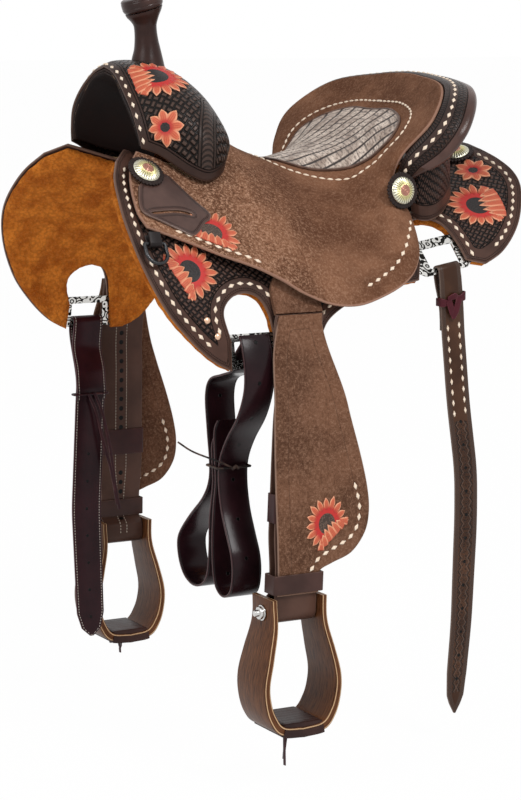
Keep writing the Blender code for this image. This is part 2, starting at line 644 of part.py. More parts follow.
PLATE_LIFT = -(SKIRT_LEATHER + GAP)
POCKET_MARGIN = 0.006
POCKET_SLACK = 0.0012


def build_skirts():
    ring = skirt_ring()
    pockets = [SKIRT.find(plate_frame(spot)(plate_rings(spot, POCKET_MARGIN)[0]), SIDE_VIEW) for spot in (FRONT_PLATE, REAR_PLATE)]
    flat, faces = flat_mesh([ring], SKIRT_CELLS, V_SCALE, pockets)
    recessed = np.zeros(len(flat), bool)
    for pocket in pockets:
        grown = pocket.mean(0) + (pocket - pocket.mean(0)) * 1.04
        recessed |= inside(flat, grown)
    fleece_top = PLATE_LIFT - np.where(recessed, PLATE_METAL + POCKET_SLACK, 0)
    fleece_foot = np.full(len(flat), PLATE_LIFT - FLEECE_DEPTH)
    for tag, side in SIDES:
        laid("skirt_" + tag, SKIRT, (flat, faces), (0, -SKIRT_LEATHER), side, rough_out())
        laid("fleece_" + tag, SKIRT, (flat, faces), (fleece_top, fleece_foot), side, wool())
        for where, spot in (("front", FRONT_PLATE), ("rear", REAR_PLATE)):
            rings = [SKIRT.find(plate_frame(spot)(r), SIDE_VIEW) for r in plate_rings(spot)]
            mesh = flat_mesh(rings, (0.03, 0.02), V_SCALE)
            laid(f"{where}_plate_{tag}", SKIRT, mesh, (PLATE_LIFT, PLATE_LIFT - PLATE_METAL), side, steel())


def bar_axis(spot, side):
    """Middle and direction of a rigging plate's lower bar."""
    ends = plate_frame(spot)(np.array([(-PLATE_SLOT_HALF, 0.0), (PLATE_SLOT_HALF, 0.0), (0, 0)]))
    found = SKIRT.find(ends, SIDE_VIEW)
    points = mirror(SKIRT.at(found[:, 0], found[:, 1], PLATE_LIFT - PLATE_METAL / 2), side)
    return points[2], unit(points[1] - points[0])


# Tree

SEAT_COLUMNS = np.arange(0, 6.1, 0.75)
SWELL_COLUMNS = np.arange(0, 5.1, 0.625)


def build_bars():
    stations = smooth(BAR_PLAN, 13)
    shares = np.array([-1, -0.35, 0.35, 1])
    for tag, side in SIDES:
        rings = []
        for k, (x, middle, half) in enumerate(stations):
            plan = np.column_stack([np.full(4, x), middle + shares * half])
            u, v = SKIRT.find(plan, PLAN).T
            deep = BAR_TIP_THICKNESS + (BAR_THICKNESS - BAR_TIP_THICKNESS) * ease(k / 3)
            foot = SKIRT.at(u, v, 0.0012)
            top = SKIRT.at(u, v, deep - 0.002 * np.abs(shares))
            rings.append(np.vstack([foot, top[::-1]]))
        last = (len(rings) - 1) * 8
        faces = grid_faces(len(rings), 8, closed=True)
        faces += [tuple(range(8)), tuple(last + k for k in reversed(range(8)))]
        add_object("tree_bar_" + tag, mirror(np.vstack(rings), side), faces, wood())


def build_tree():
    build_bars()
    arch("ground_seat", SEAT, np.arange(5.5, 10.6, 0.5), SEAT_COLUMNS[:4],
         (-SEAT_LEATHER - GAP, -SEAT_LEATHER - GROUND_SEAT_DEPTH), wood())
    arch("tree_cantle", SEAT, np.arange(11, 12.6, 0.5), SEAT_COLUMNS[:5],
         (-SEAT_LEATHER - GAP, -SEAT_LEATHER - CANTLE_CORE_DEPTH), wood())
    rows = np.arange(8)
    columns = SWELL_COLUMNS[:7]
    u, v = (g.ravel() for g in np.meshgrid(rows, np.concatenate([-columns[:0:-1], columns]), indexing="ij"))
    far = np.where(v < 0, -1, 1)[:, None]
    outer = SWELL.at(1 + 0.5 * u, np.abs(v), -COVER_LEATHER - GAP)
    inner = GULLET.at(0.375 * u, np.abs(v), LINER_LEATHER + GAP)
    for points in (outer, inner):
        points[:, 1:2] *= far
    thick_sheet("tree_fork", outer, inner, sheet_faces(8, 13, 6), wood())


# Swell, gullet and horn

def build_swell():
    cover = arch("swell_cover", SWELL, np.arange(0, 6.1, 0.5), SWELL_COLUMNS, (0, -COVER_LEATHER), tooled())
    arch("gullet_liner", GULLET, np.arange(0, 3.1, 0.375), SWELL_COLUMNS, (LINER_LEATHER, 0), smooth_leather())
    base = np.array([HORN_BASE[0], 0, HORN_BASE[1]])
    axis = unit(np.array([HORN_LEAN, 0, 1]))
    foot = base - axis * 0.006
    bore = turned("horn_hole", [(HORN_CORE_RADIUS + GAP, -0.004, 0), (HORN_CORE_RADIUS + GAP, 0.02, 0)], foot, axis, 20,
                  smooth_leather())
    cut(cover, bore)
    turned("horn_core", [(HORN_CORE_RADIUS, 0.0015, 0), (HORN_CORE_RADIUS, HORN_HEIGHT - 0.004, 0)], foot, axis, 16,
           wood())
    build_horn_wrap(base, axis)
    tilt = unit(np.array([-math.sin(HORN_CAP_TILT), 0, math.cos(HORN_CAP_TILT)]))
    r, d = HORN_CAP_RADIUS, HORN_CAP_DEPTH
    profile = [(r * 0.55, 0, 0), (r * 0.93, 0.001, 0), (r * 0.99, 0.004, 0), (r, d * 0.45, 0), (r * 0.985, d * 0.75, 0),
               (r * 0.93, d * 0.9, 0), (r * 0.7, d * 0.97, 0), (r * 0.4, d, 0)]
    top = base + axis * HORN_HEIGHT
    turned("horn_cap", profile, top + tilt * GAP, tilt, 24, smooth_leather())


def build_horn_wrap(base, axis):
    """Leather-wrapped neck: a tube round the core, its foot shaped to the swell."""
    sides = 20
    turns = np.linspace(0, 2 * math.pi, sides, endpoint=False)
    across = np.array([0, 1, 0])
    ahead = np.cross(across, axis)
    h, n, b, c = HORN_HEIGHT, HORN_NECK_RADIUS, HORN_BASE_RADIUS, HORN_CORE_RADIUS + GAP
    tilt = math.tan(HORN_CAP_TILT + HORN_LEAN)
    outline = [(c, 0), (b, 0), (b * 0.94, 0.006), (n * 1.12, 0.018), (n, 0.032), (n * 1.02, 0.045), (n * 1.1, 0.056),
               (n * 1.18, h), (c, h)]
    rings = []
    for k, (radius, height) in enumerate(outline):
        ring = base + axis * height + radius * (np.outer(np.cos(turns), ahead) + np.outer(np.sin(turns), across))
        if k < 3:
            plan = np.column_stack([ring[:, 0], np.abs(ring[:, 1])])
            u, v = SWELL.find(plan, PLAN).T
            ring += np.outer((SWELL.at(u, v, GAP)[:, 2] + height - ring[:, 2]) / axis[2], axis)
        if height == h:
            ring = ring + np.outer((ring - base - axis * h) @ ahead * tilt, axis)
        rings.append(ring)
    rings.append(rings[0])
    add_object("horn_wrap", np.vstack(rings), grid_faces(len(rings), sides, closed=True), smooth_leather())


# Seat, cantle and jockeys

def build_seat():
    """One leather over both sides: wings beside the swell, then the whole seat up to the rim."""
    rows = np.arange(0, 13.1, 0.5)
    columns = SEAT_COLUMNS
    both = [[], []]
    for side in (-1, 1):
        u, v = (g.ravel() for g in np.meshgrid(rows, columns, indexing="ij"))
        for kept, lift in zip(both, (0, -SEAT_LEATHER)):
            laid_points = SEAT.at(u, v, lift)
            on_centre = (v == 0) & (u >= 5 - 1e-9)
            laid_points[on_centre, 1] = 0
            kept.append(mirror(laid_points, side))
    outer, inner = (np.vstack(k) for k in both)
    half = len(rows) * len(columns)
    shared = np.arange(2 * half)
    for r, row in enumerate(rows):
        if row >= 5 - 1e-9:
            shared[r * len(columns)] = half + r * len(columns)
    near = [tuple(reversed(f)) for f in sheet_faces(len(rows), len(columns))]
    far = [tuple(half + k for k in f) for f in sheet_faces(len(rows), len(columns))]
    faces = [tuple(int(shared[k]) for k in f) for f in near + far]
    used = sorted({k for f in faces for k in f})
    renumber = {k: n for n, k in enumerate(used)}
    faces = [tuple(renumber[k] for k in f) for f in faces]
    thick_sheet("seat_cover", outer[used], inner[used], faces, tooled())


def rim_points(count):
    """Rim, direction to the roll's outer edge, upward direction and roll width, centre to end."""
    s = np.linspace(0, len(CANTLE_RIM) - 1, count)
    wanted = catmull(CANTLE_RIM, s)
    fine = np.linspace(0, 6, 1200)
    edge = SEAT.point(np.full(1200, 13.0), fine)
    v = fine[np.argmin(((wanted[:, None] - edge[None]) ** 2).sum(2), axis=1)]
    v[0] = 0
    rim = SEAT.point(np.full(count, 13.0), v)
    outwards = catmull(ROLL_EDGE, s) - rim
    outwards[0, 1] = 0
    width = np.linalg.norm(outwards, axis=1)
    tangent = unit(np.gradient(rim, axis=0))
    tangent[0] = (0, 1, 0)
    outwards = unit(outwards - tangent * (outwards * tangent).sum(1)[:, None])
    up = unit(np.cross(outwards, tangent))
    return rim, outwards, up, width, s


def build_cantle():
    count = 15
    rim, outwards, up, width, s = rim_points(count)
    taper = 1 - 0.35 * ease((s - 6) / 3)
    rings = []
    for k in range(count):
        w, f = width[k], taper[k]
        inner = SEAT_LEATHER - 0.0005
        profile = [(inner, -0.0005), (0.3 * w, 0.0025 * f), (0.7 * w, 0.0025 * f), (w - 0.001, 0.0005),
                   (w + 0.0035 * f, -0.0035 * f), (w + 0.0045 * f, -0.009 * f), (w + 0.001, -0.0135 * f),
                   (0.75 * w, -0.012 * f), (0.4 * w, -0.009 * f), (inner, -0.0075 * f)]
        rings.append(np.array([rim[k] + outwards[k] * a + up[k] * b for a, b in profile]))
    rings = [r * (1, -1, 1) for r in rings[:0:-1]] + rings
    faces = grid_faces(len(rings), 10, closed=True)
    last = (len(rings) - 1) * 10
    faces += [tuple(range(10)), tuple(last + k for k in reversed(range(10)))]
    add_object("cantle_roll", np.vstack(rings), faces, tooled())

    head = rim + outwards * (0.55 * width)[:, None] - up * 0.0165
    plan = catmull(CANTLE_FOOT, s)
    u, v = SKIRT.find(np.column_stack([plan[:, 0], plan[:, 1]]), PLAN).T
    foot = SKIRT.at(u, v, 0.001 + SEAT_LEATHER / 2)
    rows = np.linspace(0, 1, 5)
    middle = head[None] * (1 - rows[:, None, None]) + foot[None] * rows[:, None, None]
    down = foot - head
    along = np.gradient(head, axis=0)
    along[0] = (0, 1, 0)
    face_out = unit(np.cross(down, along))
    bow = (0.006 * np.sin(math.pi * rows))[:, None, None] * face_out[None]
    both = []
    for offset in (SEAT_LEATHER / 2, -SEAT_LEATHER / 2):
        half = middle - bow + face_out[None] * offset
        both.append(np.concatenate([half[:, :0:-1] * (1, -1, 1), half], axis=1).reshape(-1, 3))
    thick_sheet("cantle_back", *both, sheet_faces(len(rows), 2 * count - 1, count - 1), tooled())


# Conchos, rope strap and dees

def disc_lift(face, u, v, radius):
    """How far a flat disc must stand off the face to clear it."""
    centre, normal = face.point(u, v)[0], face.normal(u, v)[0]
    (u0, u1), (v0, v1) = face.limits
    reach_u = 0.05 if face is SKIRT else 1.6
    near_u, near_v = (g.ravel() for g in np.meshgrid(np.clip(np.linspace(u[0] - reach_u, u[0] + reach_u, 41), u0, u1),
                                                     np.clip(np.linspace(v[0] - 1.6, v[0] + 1.6, 41), v0, v1)))
    offset = face.point(near_u, near_v) - centre
    height = offset @ normal
    flat = np.linalg.norm(offset - height[:, None] * normal, axis=1)
    return height[flat <= radius].max()


def concho_on(name, face, spot, side, base_lift):
    """A concho lying flat on the leather below it."""
    u, v = face.find(spot, PLAN).T
    normal = face.normal(u, v)[0]
    lift = base_lift + disc_lift(face, u, v, ROSETTE_RADIUS) + GAP
    concho(name, face.point(u, v)[0] + normal * lift, normal, side)


def concho(name, foot, normal, side):
    """A domed concho on a scalloped leather rosette."""
    t, d, r = ROSETTE_THICKNESS, CONCHO_DOME, CONCHO_RADIUS
    profile = [(ROSETTE_RADIUS, 0, 0.07), (ROSETTE_RADIUS, t * 0.7, 0.07), (ROSETTE_RADIUS * 0.93, t, 0.05),
               (r, t, 0), (r, t + 0.0012, 0), (r * 0.85, t + d * 0.45, 0), (r * 0.5, t + d * 0.85, 0),
               (r * 0.18, t + d, 0)]
    turned(name, profile, mirror(foot, side), mirror(normal, side), 16, silver())


FRONT_CONCHO = (-0.260, 0.149)
REAR_CONCHO = (0.299, 0.062)
JOCKEY_CONCHO = (0.1195, 0.1973, 0.0034)
JOCKEY_CONCHO_FACING = (0.1, 1, 0.1)
ROPE_STRAP = np.array([(0.18, 2.93), (0.5, 2.1), (0.99, 1.72), (1.40, 2.33), (2.12, 3.26), (2.1, 3.8), (1.86, 4.23),
                       (1.32, 5.5), (0.9, 5.55), (0.44, 5.30), (0.08, 4.83)])
ROPE_SLIT = np.array([(0.36, 4.9), (0.34, 4.76), (0.9, 4.36), (1.42, 4.06), (1.44, 4.2), (0.92, 4.5)])


def build_trim():
    for tag, side in SIDES:
        concho_on("front_concho_" + tag, SEAT, FRONT_CONCHO, side, STRAP_LEATHER + 2 * GAP if side < 0 else 0)
        concho_on("rear_concho_" + tag, SKIRT, REAR_CONCHO, side, 0)
        concho("jockey_concho_" + tag, JOCKEY_CONCHO, JOCKEY_CONCHO_FACING, side)
        build_dee(tag, side)
    rings = [smooth(np.vstack([ROPE_STRAP, ROPE_STRAP[:1]]), 19)[:-1], ROPE_SLIT]
    mesh = flat_mesh(rings, (0.5, 0.5), np.array([1, 1]))
    laid("rope_strap", SEAT, mesh, (2 * GAP + STRAP_LEATHER, 2 * GAP), -1, smooth_leather())


DEE_SPOT = (-0.286, -0.056)
DEE_BAR_HALF = 0.0145
DEE_DROP = 0.030
DEE_WIRE = 0.0026
DEE_STANDOFF = 0.0070
DEE_LOOP_WIDTH = 0.018
DEE_LOOP_TOP = 0.014


def dee_frame(side):
    u, v = SKIRT.find(DEE_SPOT, SIDE_VIEW).T
    normal = SKIRT.normal(u, v)[0]
    down = SKIRT.point(u, v + 0.01)[0] - SKIRT.point(u, v - 0.01)[0]
    down = unit(down - normal * (down @ normal))
    middle = SKIRT.point(u, v)[0] + normal * DEE_STANDOFF
    return (mirror(p, side) for p in (middle, np.cross(normal, down), down, normal))


def build_dee(tag, side):
    middle, along, down, normal = dee_frame(side)
    turn = np.linspace(-0.5 * math.pi, 0.5 * math.pi, 11)
    half, drop = DEE_BAR_HALF, DEE_DROP
    ring = [(half * math.sin(t) * 1.1, drop - half * 1.1 + half * 1.1 * math.cos(t)) for t in turn]
    ring = [(-half * 0.9, 0), (-half * 0.3, 0), (half * 0.3, 0), (half * 0.9, 0), (half * 1.1, 0.002)] + ring[::-1]
    ring += [(-half * 1.1, 0.002)]
    path = np.array([middle + along * a + down * b for a, b in ring])
    tube("dee_" + tag, path, DEE_WIRE, 6, steel(), closed=True, pivot=middle)
    r = DEE_WIRE + GAP + STRAP_LEATHER / 2
    angles = np.linspace(0, math.pi, 9)
    bend = [(r * math.sin(t), r * math.cos(t)) for t in angles]
    strip = [(-DEE_LOOP_TOP, r + 0.001)] + bend + [(-DEE_LOOP_TOP, -r - 0.0008)]
    points = np.array([middle + down * a + normal * b for a, b in strip])
    ribbon("dee_loop_" + tag, points, along, DEE_LOOP_WIDTH, STRAP_LEATHER, tooled())


# Stirrup leathers, fenders and stirrups

def hang(tag, z):
    """Outer |y| of the fender and how far its middle line has swayed from the leather's, at heights z."""
    far_y, sway = HANG[tag]
    depth = LIFT_HEIGHT - np.asarray(z, float)
    outer = FENDER_TOP_Y + (far_y - FENDER_TOP_Y) * ease(depth / HANG_DEPTH)
    full = LIFT_HEIGHT - BOLT_HEIGHT
    shift = sway * (0.43 * (1 - np.exp(-np.maximum(depth, 0) / 0.05)) + 0.57 * depth / full)
    return outer, LEATHER_X + shift


def hang_axis(tag):
    """Direction of the hanging strap's lower run, upwards."""
    low, high = hang(tag, -0.50)[1], hang(tag, -0.36)[1]
    return unit(np.array([high - low, 0, 0.14]))


def build_leather_top(tag, side):
    v0, v1 = SKIRT.find([(LEATHER_X, 0.105), (LEATHER_X, 0.23)], PLAN)[:, 1]
    v = np.linspace(v0, v1, 13)
    x = LEATHER_X + np.array([-0.5, -0.17, 0.17, 0.5]) * LEATHER_WIDTH
    u, w = (g.ravel() for g in np.meshgrid(x, v, indexing="ij"))
    reach = SKIRT.point(u, w)[:, 1]
    foot = 0.0008 + (BAR_THICKNESS + 0.0012) * (1 - ease((reach - 0.122) / 0.022))
    both = [mirror(SKIRT.at(u, w, lift), side) for lift in (foot + 0.005, foot)]
    thick_sheet("stirrup_leather_top_" + tag, *both, sheet_faces(4, 13), smooth_leather())


def build_leather(tag, side):
    """The doubled leather below the tree: a half-round head on the swing pivot, then straight down."""
    y, z = SWING_PIVOT
    pivot = np.array([LEATHER_X, side * y, z])
    normal = np.array([0, side * math.cos(SWING_TILT), math.sin(SWING_TILT)])
    up = np.array([0, -side * math.sin(SWING_TILT), math.cos(SWING_TILT)])
    ahead = np.array([1.0, 0, 0])
    half = LEATHER_WIDTH / 2
    foot = -(z - LIFT_HEIGHT + GAP / 2) / math.cos(SWING_TILT)
    turns = np.linspace(0, math.pi, 13)
    outline = [(half * math.cos(t), half * math.sin(t)) for t in turns] + [(-half, foot), (half, foot)]
    points = np.array([pivot + ahead * a + up * b for a, b in outline])
    both = [points + normal * 0.0032, points - normal * 0.0032]
    thick_sheet("stirrup_leather_" + tag, *both, [tuple(range(len(outline)))], smooth_leather(), pivot)


def build_fender(tag, side):
    pivot = np.array([LEATHER_X, side * FENDER_TOP_Y, LIFT_HEIGHT])
    ring = smooth(np.vstack([FENDER_OUTLINE[:13]]), 26)
    front = smooth(FENDER_OUTLINE[13:], 18)
    ring = np.vstack([ring, front])
    ring[:, 1] = np.minimum(ring[:, 1], LIFT_HEIGHT - 0.0004)
    flat, faces = flat_mesh([ring], (0.034, 0.026), np.array([1, 1]))
    outer_y, middle = hang(tag, flat[:, 1])
    both = [mirror(np.column_stack([middle + flat[:, 0], outer_y - d, flat[:, 1]]), side) for d in (0, FENDER_LEATHER)]
    thick_sheet("fender_" + tag, *both, faces, tooled(), pivot)

    ply = STRAP_LEATHER
    z = np.concatenate([np.linspace(LIFT_HEIGHT - 0.0005, -0.30, 9), np.linspace(-0.36, -0.5235, 4),
                        np.linspace(-0.527, -0.5375, 4), [BOLT_HEIGHT]])
    outer_y, middle = hang(tag, z)
    spread = 0.004 + (PLY_SPREAD - 0.004) * ease((-0.17 - z) / 0.13)
    spread += (BOLT_SPREAD - PLY_SPREAD) * ease((-0.5235 - z) / 0.014)
    outer_run = np.column_stack([middle, outer_y - PLY_SETBACK - ply / 2, z])
    inner_run = outer_run - np.column_stack([0 * z, spread, 0 * z])
    bend_y, bend_x = HANG[tag][0] - PLY_SETBACK - ply / 2 - BOLT_SPREAD / 2, hang(tag, BOLT_HEIGHT)[1]
    turns = np.linspace(0, math.pi, 11)[1:-1]
    bend = np.column_stack([np.full(9, bend_x), bend_y + BOLT_SPREAD / 2 * np.cos(turns),
                            BOLT_HEIGHT - BOLT_SPREAD / 2 * np.sin(turns)])
    path = mirror(np.vstack([outer_run, bend, inner_run[::-1]]), side)
    width = LEATHER_WIDTH + (NECK_WIDTH - LEATHER_WIDTH) * ease((-0.44 - path[:, 2]) / 0.06)
    ribbon("stirrup_strap_" + tag, path, (1, 0, 0), width, ply, smooth_leather(), pivot=pivot)

    axis = hang_axis(tag)
    loop = strap_loop(tag, side, SLEEVE_Z, LEATHER_WIDTH / 2, SLEEVE_WALL, PLY_SETBACK - 0.0004 - SLEEVE_WALL)
    ribbon("sleeve_" + tag, loop, axis, SLEEVE_HEIGHT, SLEEVE_WALL, steel(), closed=True, pivot=loop.mean(0))
    loop = strap_loop(tag, side, HOBBLE_Z, 0.0348, 0.0025, -0.0029)
    ribbon("hobble_" + tag, loop, axis, HOBBLE_WIDTH, 0.0025, tooled(), closed=True, pivot=pivot)


def strap_loop(tag, side, z, half, wall, setback):
    """Closed path round both plies of the stirrup strap, its outer run `setback` in from the fender's face."""
    outer_y, middle = hang(tag, z)
    out = outer_y - setback - wall / 2
    back = outer_y - PLY_SETBACK - STRAP_LEATHER - PLY_SPREAD - 0.0005 - wall / 2
    a, r = half + 0.0009 + wall / 2, 0.0012
    rectangle = [(a, out - r), (a, back + r), (a - r, back), (0.3 * a, back), (-0.3 * a, back), (r - a, back),
                 (-a, back + r), (-a, out - r), (r - a, out), (-0.3 * a, out), (0.3 * a, out), (a - r, out)]
    return mirror(np.array([(middle + dx, y, z) for dx, y in rectangle]), side)


def build_stirrup(tag, side):
    """Bow with a legs-and-bottom outline in the X-Z plane, its bolt, tread cover and tread lace."""
    y = HANG[tag][0] - PLY_SETBACK - STRAP_LEATHER / 2 - BOLT_SPREAD / 2
    x = float(hang(tag, BOLT_HEIGHT)[1])
    pivot = np.array([x, side * y, BOLT_HEIGHT])
    outer, inner = smooth(BOW_OUTER, BOW_STEPS), smooth(BOW_INNER, BOW_STEPS)
    outer, inner = (np.vstack([p, (p * (-1, 1))[-2::-1]]) for p in (outer, inner))
    half, bevel = STIRRUP_DEPTH / 2, 0.0015
    rings = []
    for (xo, zo), (xi, zi) in zip(outer, inner):
        depth = half * (0.74 + 0.26 * ease((-0.535 - zo) / 0.10))
        edge = min(bevel / max(math.hypot(xo - xi, zo - zi), 1e-6), 0.4)
        corners = [(0, depth - bevel), (edge, depth), (1 - edge, depth), (1, depth - bevel),
                   (1, bevel - depth), (1 - edge, -depth), (edge, -depth), (0, bevel - depth)]
        rings.append(np.array([(x + xi + (xo - xi) * f, side * y + d, zi + (zo - zi) * f) for f, d in corners]))
    last = (len(rings) - 1) * 8
    faces = grid_faces(len(rings), 8, closed=True)
    faces += [tuple(range(8)), tuple(last + k for k in reversed(range(8)))]
    bow = add_object("stirrup_" + tag, np.vstack(rings), faces, walnut(), pivot)
    along = np.array([1.0, 0, 0])
    cut(bow, turned("bolt_hole_" + tag, [(0.0042, -0.06, 0), (0.0042, 0.06, 0)], pivot, along, 16, walnut()))
    r, s = BOLT_RADIUS, BOLT_SLEEVE_RADIUS
    profile = [(0.004, -0.0535, 0), (0.0046, -0.0525, 0), (0.0046, -0.0485, 0), (0.0078, -0.048, 0),
               (0.0078, -0.0440, 0), (0.0095, -0.0438, 0), (0.0095, -0.0424, 0), (r, -0.0423, 0), (r, -0.0336, 0),
               (s, -0.0335, 0), (s, 0.0335, 0), (r, 0.0336, 0), (r, 0.0423, 0), (0.0095, 0.0424, 0),
               (0.0095, 0.0438, 0), (0.0080, 0.0440, 0), (0.0066, 0.0475, 0), (0.003, 0.0488, 0)]
    turned("stirrup_bolt_" + tag, profile, pivot, along, 10, steel(), pivot)
    build_tread(tag, side, x, y, pivot)


def build_tread(tag, side, x, y, pivot):
    floor = smooth(BOW_INNER, BOW_STEPS)[::-1]
    half = TREAD_WIDTH / 2 - 0.004
    xs = np.linspace(-half, half, 9)
    low = np.interp(np.abs(xs), floor[:6, 0], floor[:6, 1]) + GAP
    top = np.full(9, low.max() + 0.0028)
    depth = STIRRUP_DEPTH / 2 - 0.001
    ring = np.vstack([np.column_stack([xs, low]), np.column_stack([xs, top])[::-1]])
    points = [np.array([(x + a, side * y + d, b) for a, b in ring]) for d in (-depth, depth)]
    faces = [tuple(reversed(range(18))), tuple(18 + k for k in range(18))]
    faces += [(k, (k + 1) % 18, 18 + (k + 1) % 18, 18 + k) for k in range(18)]
    add_object("tread_" + tag, np.vstack(points), faces, smooth_leather(), pivot)
    reach, drop = TREAD_LACE[tag]
    sole = smooth(BOW_OUTER, BOW_STEPS)[::-1]
    foot = np.interp(abs(reach - 0.004), sole[:6, 0], sole[:6, 1]) - 0.0014
    lace = [(-0.012, 0), (-0.004, 0), (0.002, -0.001), (0.0045, -0.008), (0.005, -0.5 * drop), (0.0055, -drop)]
    path = np.array([(x + reach + a, side * y - 0.6 * side * depth, foot + b) for a, b in lace])
    ribbon("tread_lace_" + tag, path, (0, 1, 0), 0.010, 0.002, burgundy(), pivot=pivot)


# Cinch straps

def build_latigo():
    middle = bar_axis(FRONT_PLATE, -1)[0]
    y, z = abs(middle[1]), middle[2]
    out_run = smooth(LATIGO_OUT, LATIGO_STEPS)
    in_run = smooth(LATIGO_IN, LATIGO_STEPS)
    bridge = np.array([(out_run[0, 0] - 0.0035, out_run[0, 1] + 0.0042), (y + 0.0125, z + 0.0300), (y + 0.0050, z + 0.0220),
                       (y - 0.0030, z + 0.0140), (y - 0.0075, z + 0.0030), (y - 0.0095, z - 0.0060)])
    path = np.vstack([out_run[::-1], smooth(np.vstack([out_run[0], bridge, in_run[0]]), 14)[1:-1], in_run])
    points = np.column_stack([np.full(len(path), middle[0] + LATIGO_SHIFT), -path[:, 0], path[:, 1]])
    ribbon("latigo", points, (1, 0, 0), LATIGO_WIDTH, STRAP_LEATHER, burgundy(), pivot=middle)
    a, r = LATIGO_WIDTH / 2 + CORD_RADIUS + 2 * GAP, 0.003
    low, high = TIE_SPAN[0] - CORD_RADIUS - 2 * GAP, TIE_SPAN[1] + CORD_RADIUS + 2 * GAP
    rectangle = [(a, high - r), (a, low + r), (a - r, low), (r - a, low), (-a, low + r), (-a, high - r), (r - a, high),
                 (a - r, high)]
    loop = np.array([(middle[0] + LATIGO_SHIFT + dx, -y_at, TIE_Z) for dx, y_at in rectangle])
    tube("latigo_tie", loop, CORD_RADIUS, 6, burgundy(), closed=True, pivot=middle)


def hanging_billet(name, spot, side, outer_drop, inner_drop, centre, width, finish, end_y):
    """A strap through a plate's slot and round its bar: a short inner ply and a long outer one.

    `centre` gives x at heights z, `end_y` the |y| of the outer ply's foot.
    """
    middle, axis = bar_axis(spot, side)
    y, z = abs(middle[1]), middle[2]
    r = spot[3] / 2 + BAR_CLEARANCE + STRAP_LEATHER / 2
    turns = np.linspace(0, math.pi, 9)
    bend = [(y + r * math.cos(t), z + r * math.sin(t)) for t in turns]
    outer_z = np.linspace(z - 0.012, outer_drop, 17)
    inner_z = np.linspace(z - 0.012, inner_drop, 5)
    outer_y = y + r + (end_y - y - r) * ease((z - outer_z) / 0.10)
    inner_y = y - r + (np.interp(-inner_z, -outer_z, outer_y) - STRAP_LEATHER - 2 * GAP - y + r) * ease(
        (z - 0.012 - inner_z) / 0.05)
    rows = list(zip(outer_y[::-1], outer_z[::-1])) + bend + list(zip(inner_y, inner_z))
    rows = np.array(rows)
    x = middle[0] + np.interp(-rows[:, 1], -centre[:, 1], centre[:, 0]) - np.interp(-z, -centre[:, 1], centre[:, 0])
    path = np.column_stack([x, side * rows[:, 0], rows[:, 1]])
    lean = ease((z - rows[:, 1]) / 0.06)[:, None]
    across = unit(axis * (1 - lean) + np.array([1.0, 0, 0]) * lean)
    widths = np.interp(-rows[:, 1], -width[:, 1], width[:, 0])
    ribbon(name, path, across, widths, STRAP_LEATHER, finish, pivot=middle)


OFF_CENTRE = cm((-15.7, -20), (-16.6, -32), (-17.4, -50), (-16.8, -66), (-16.5, -70))
OFF_WIDTH = cm((4.8, -20), (4.8, -50), (4.3, -66), (3.0, -68.6), (1.2, -69.6))
REAR_CENTRE = cm((17.8, -10), (18.75, -16.7), (20, -30), (21.4, -40), (21.45, -47), (21.1, -55), (20.8, -62),
                 (20, -70), (19.7, -75))


def rear_width(tag):
    """Width of a rear billet down to its spade point."""
    end = REAR_BILLET_END[tag]
    return np.array([(REAR_BILLET_WIDTH, -0.10), (REAR_BILLET_WIDTH, end + 0.25), (0.033, end + 0.06),
                     (0.026, end + 0.025), (0.008, end)])


def build_straps():
    build_latigo()
    hanging_billet("off_billet", FRONT_PLATE, 1, OFF_BILLET_END, -0.33, OFF_CENTRE, OFF_WIDTH, burgundy(),
                    OFF_BILLET_Y)
    for tag, side in SIDES:
        hanging_billet("rear_billet_" + tag, REAR_PLATE, side, REAR_BILLET_END[tag], -0.195, REAR_CENTRE, rear_width(tag),
                       burgundy(), 0.2290)
    build_off_lace()


def build_off_lace():
    middle = bar_axis(FRONT_PLATE, 1)[0]
    x, z = float(np.interp(0.322, -OFF_CENTRE[:, 1], OFF_CENTRE[:, 0])), -0.322
    y = OFF_BILLET_Y + STRAP_LEATHER / 2 + 1.5 * GAP + CORD_RADIUS
    half, back = OFF_BILLET_WIDTH / 2 + 0.004, OFF_BILLET_Y - STRAP_LEATHER * 1.5 - 3.5 * GAP - CORD_RADIUS
    ring = [(half, y - 0.002), (half, back + 0.002), (half - 0.003, back), (0.003 - half, back), (-half, back + 0.002),
            (-half, y - 0.002), (0.003 - half, y), (half - 0.003, y)]
    path = np.array([(x + dx, yy, z) for dx, yy in ring])
    tube("off_lace", path, CORD_RADIUS, 6, burgundy(), closed=True, pivot=middle)


def build_inlay():
    """Padded inlay across the seat, crowned towards its middle."""
    ring = INLAY_OUTLINE
    ring = smooth(np.vstack([ring, ring[::-1][1:] * (1, -1)]), 41)[:-1]
    scale = np.array([1, 1])
    centre = np.column_stack([np.linspace(7.5, 11.3, 9), np.zeros(9)])
    flat, faces = flat_mesh([ring], (1.0, 0.75), scale, [np.vstack([centre, centre[-2:0:-1]])])
    ends = np.vstack([ring[1:], ring[:1]])
    along = ends - ring
    share = ((flat[:, None] - ring[None]) * along).sum(2) / (along ** 2).sum(1)
    gap = np.linalg.norm(flat[:, None] - ring[None] - np.clip(share, 0, 1)[..., None] * along, axis=2).min(1)
    crown = 0.002 + 0.006 * ease(gap / 2.0)
    both = []
    for lift in (crown + INLAY_STANDOFF, np.full(len(flat), INLAY_STANDOFF)):
        points = SEAT.at(flat[:, 0], np.abs(flat[:, 1]), lift)
        points[:, 1] *= np.where(flat[:, 1] < 0, -1, 1)
        points[np.abs(flat[:, 1]) < 1e-6, 1] = 0
        both.append(points)
    thick_sheet("seat_inlay", *both, faces, smooth_leather())


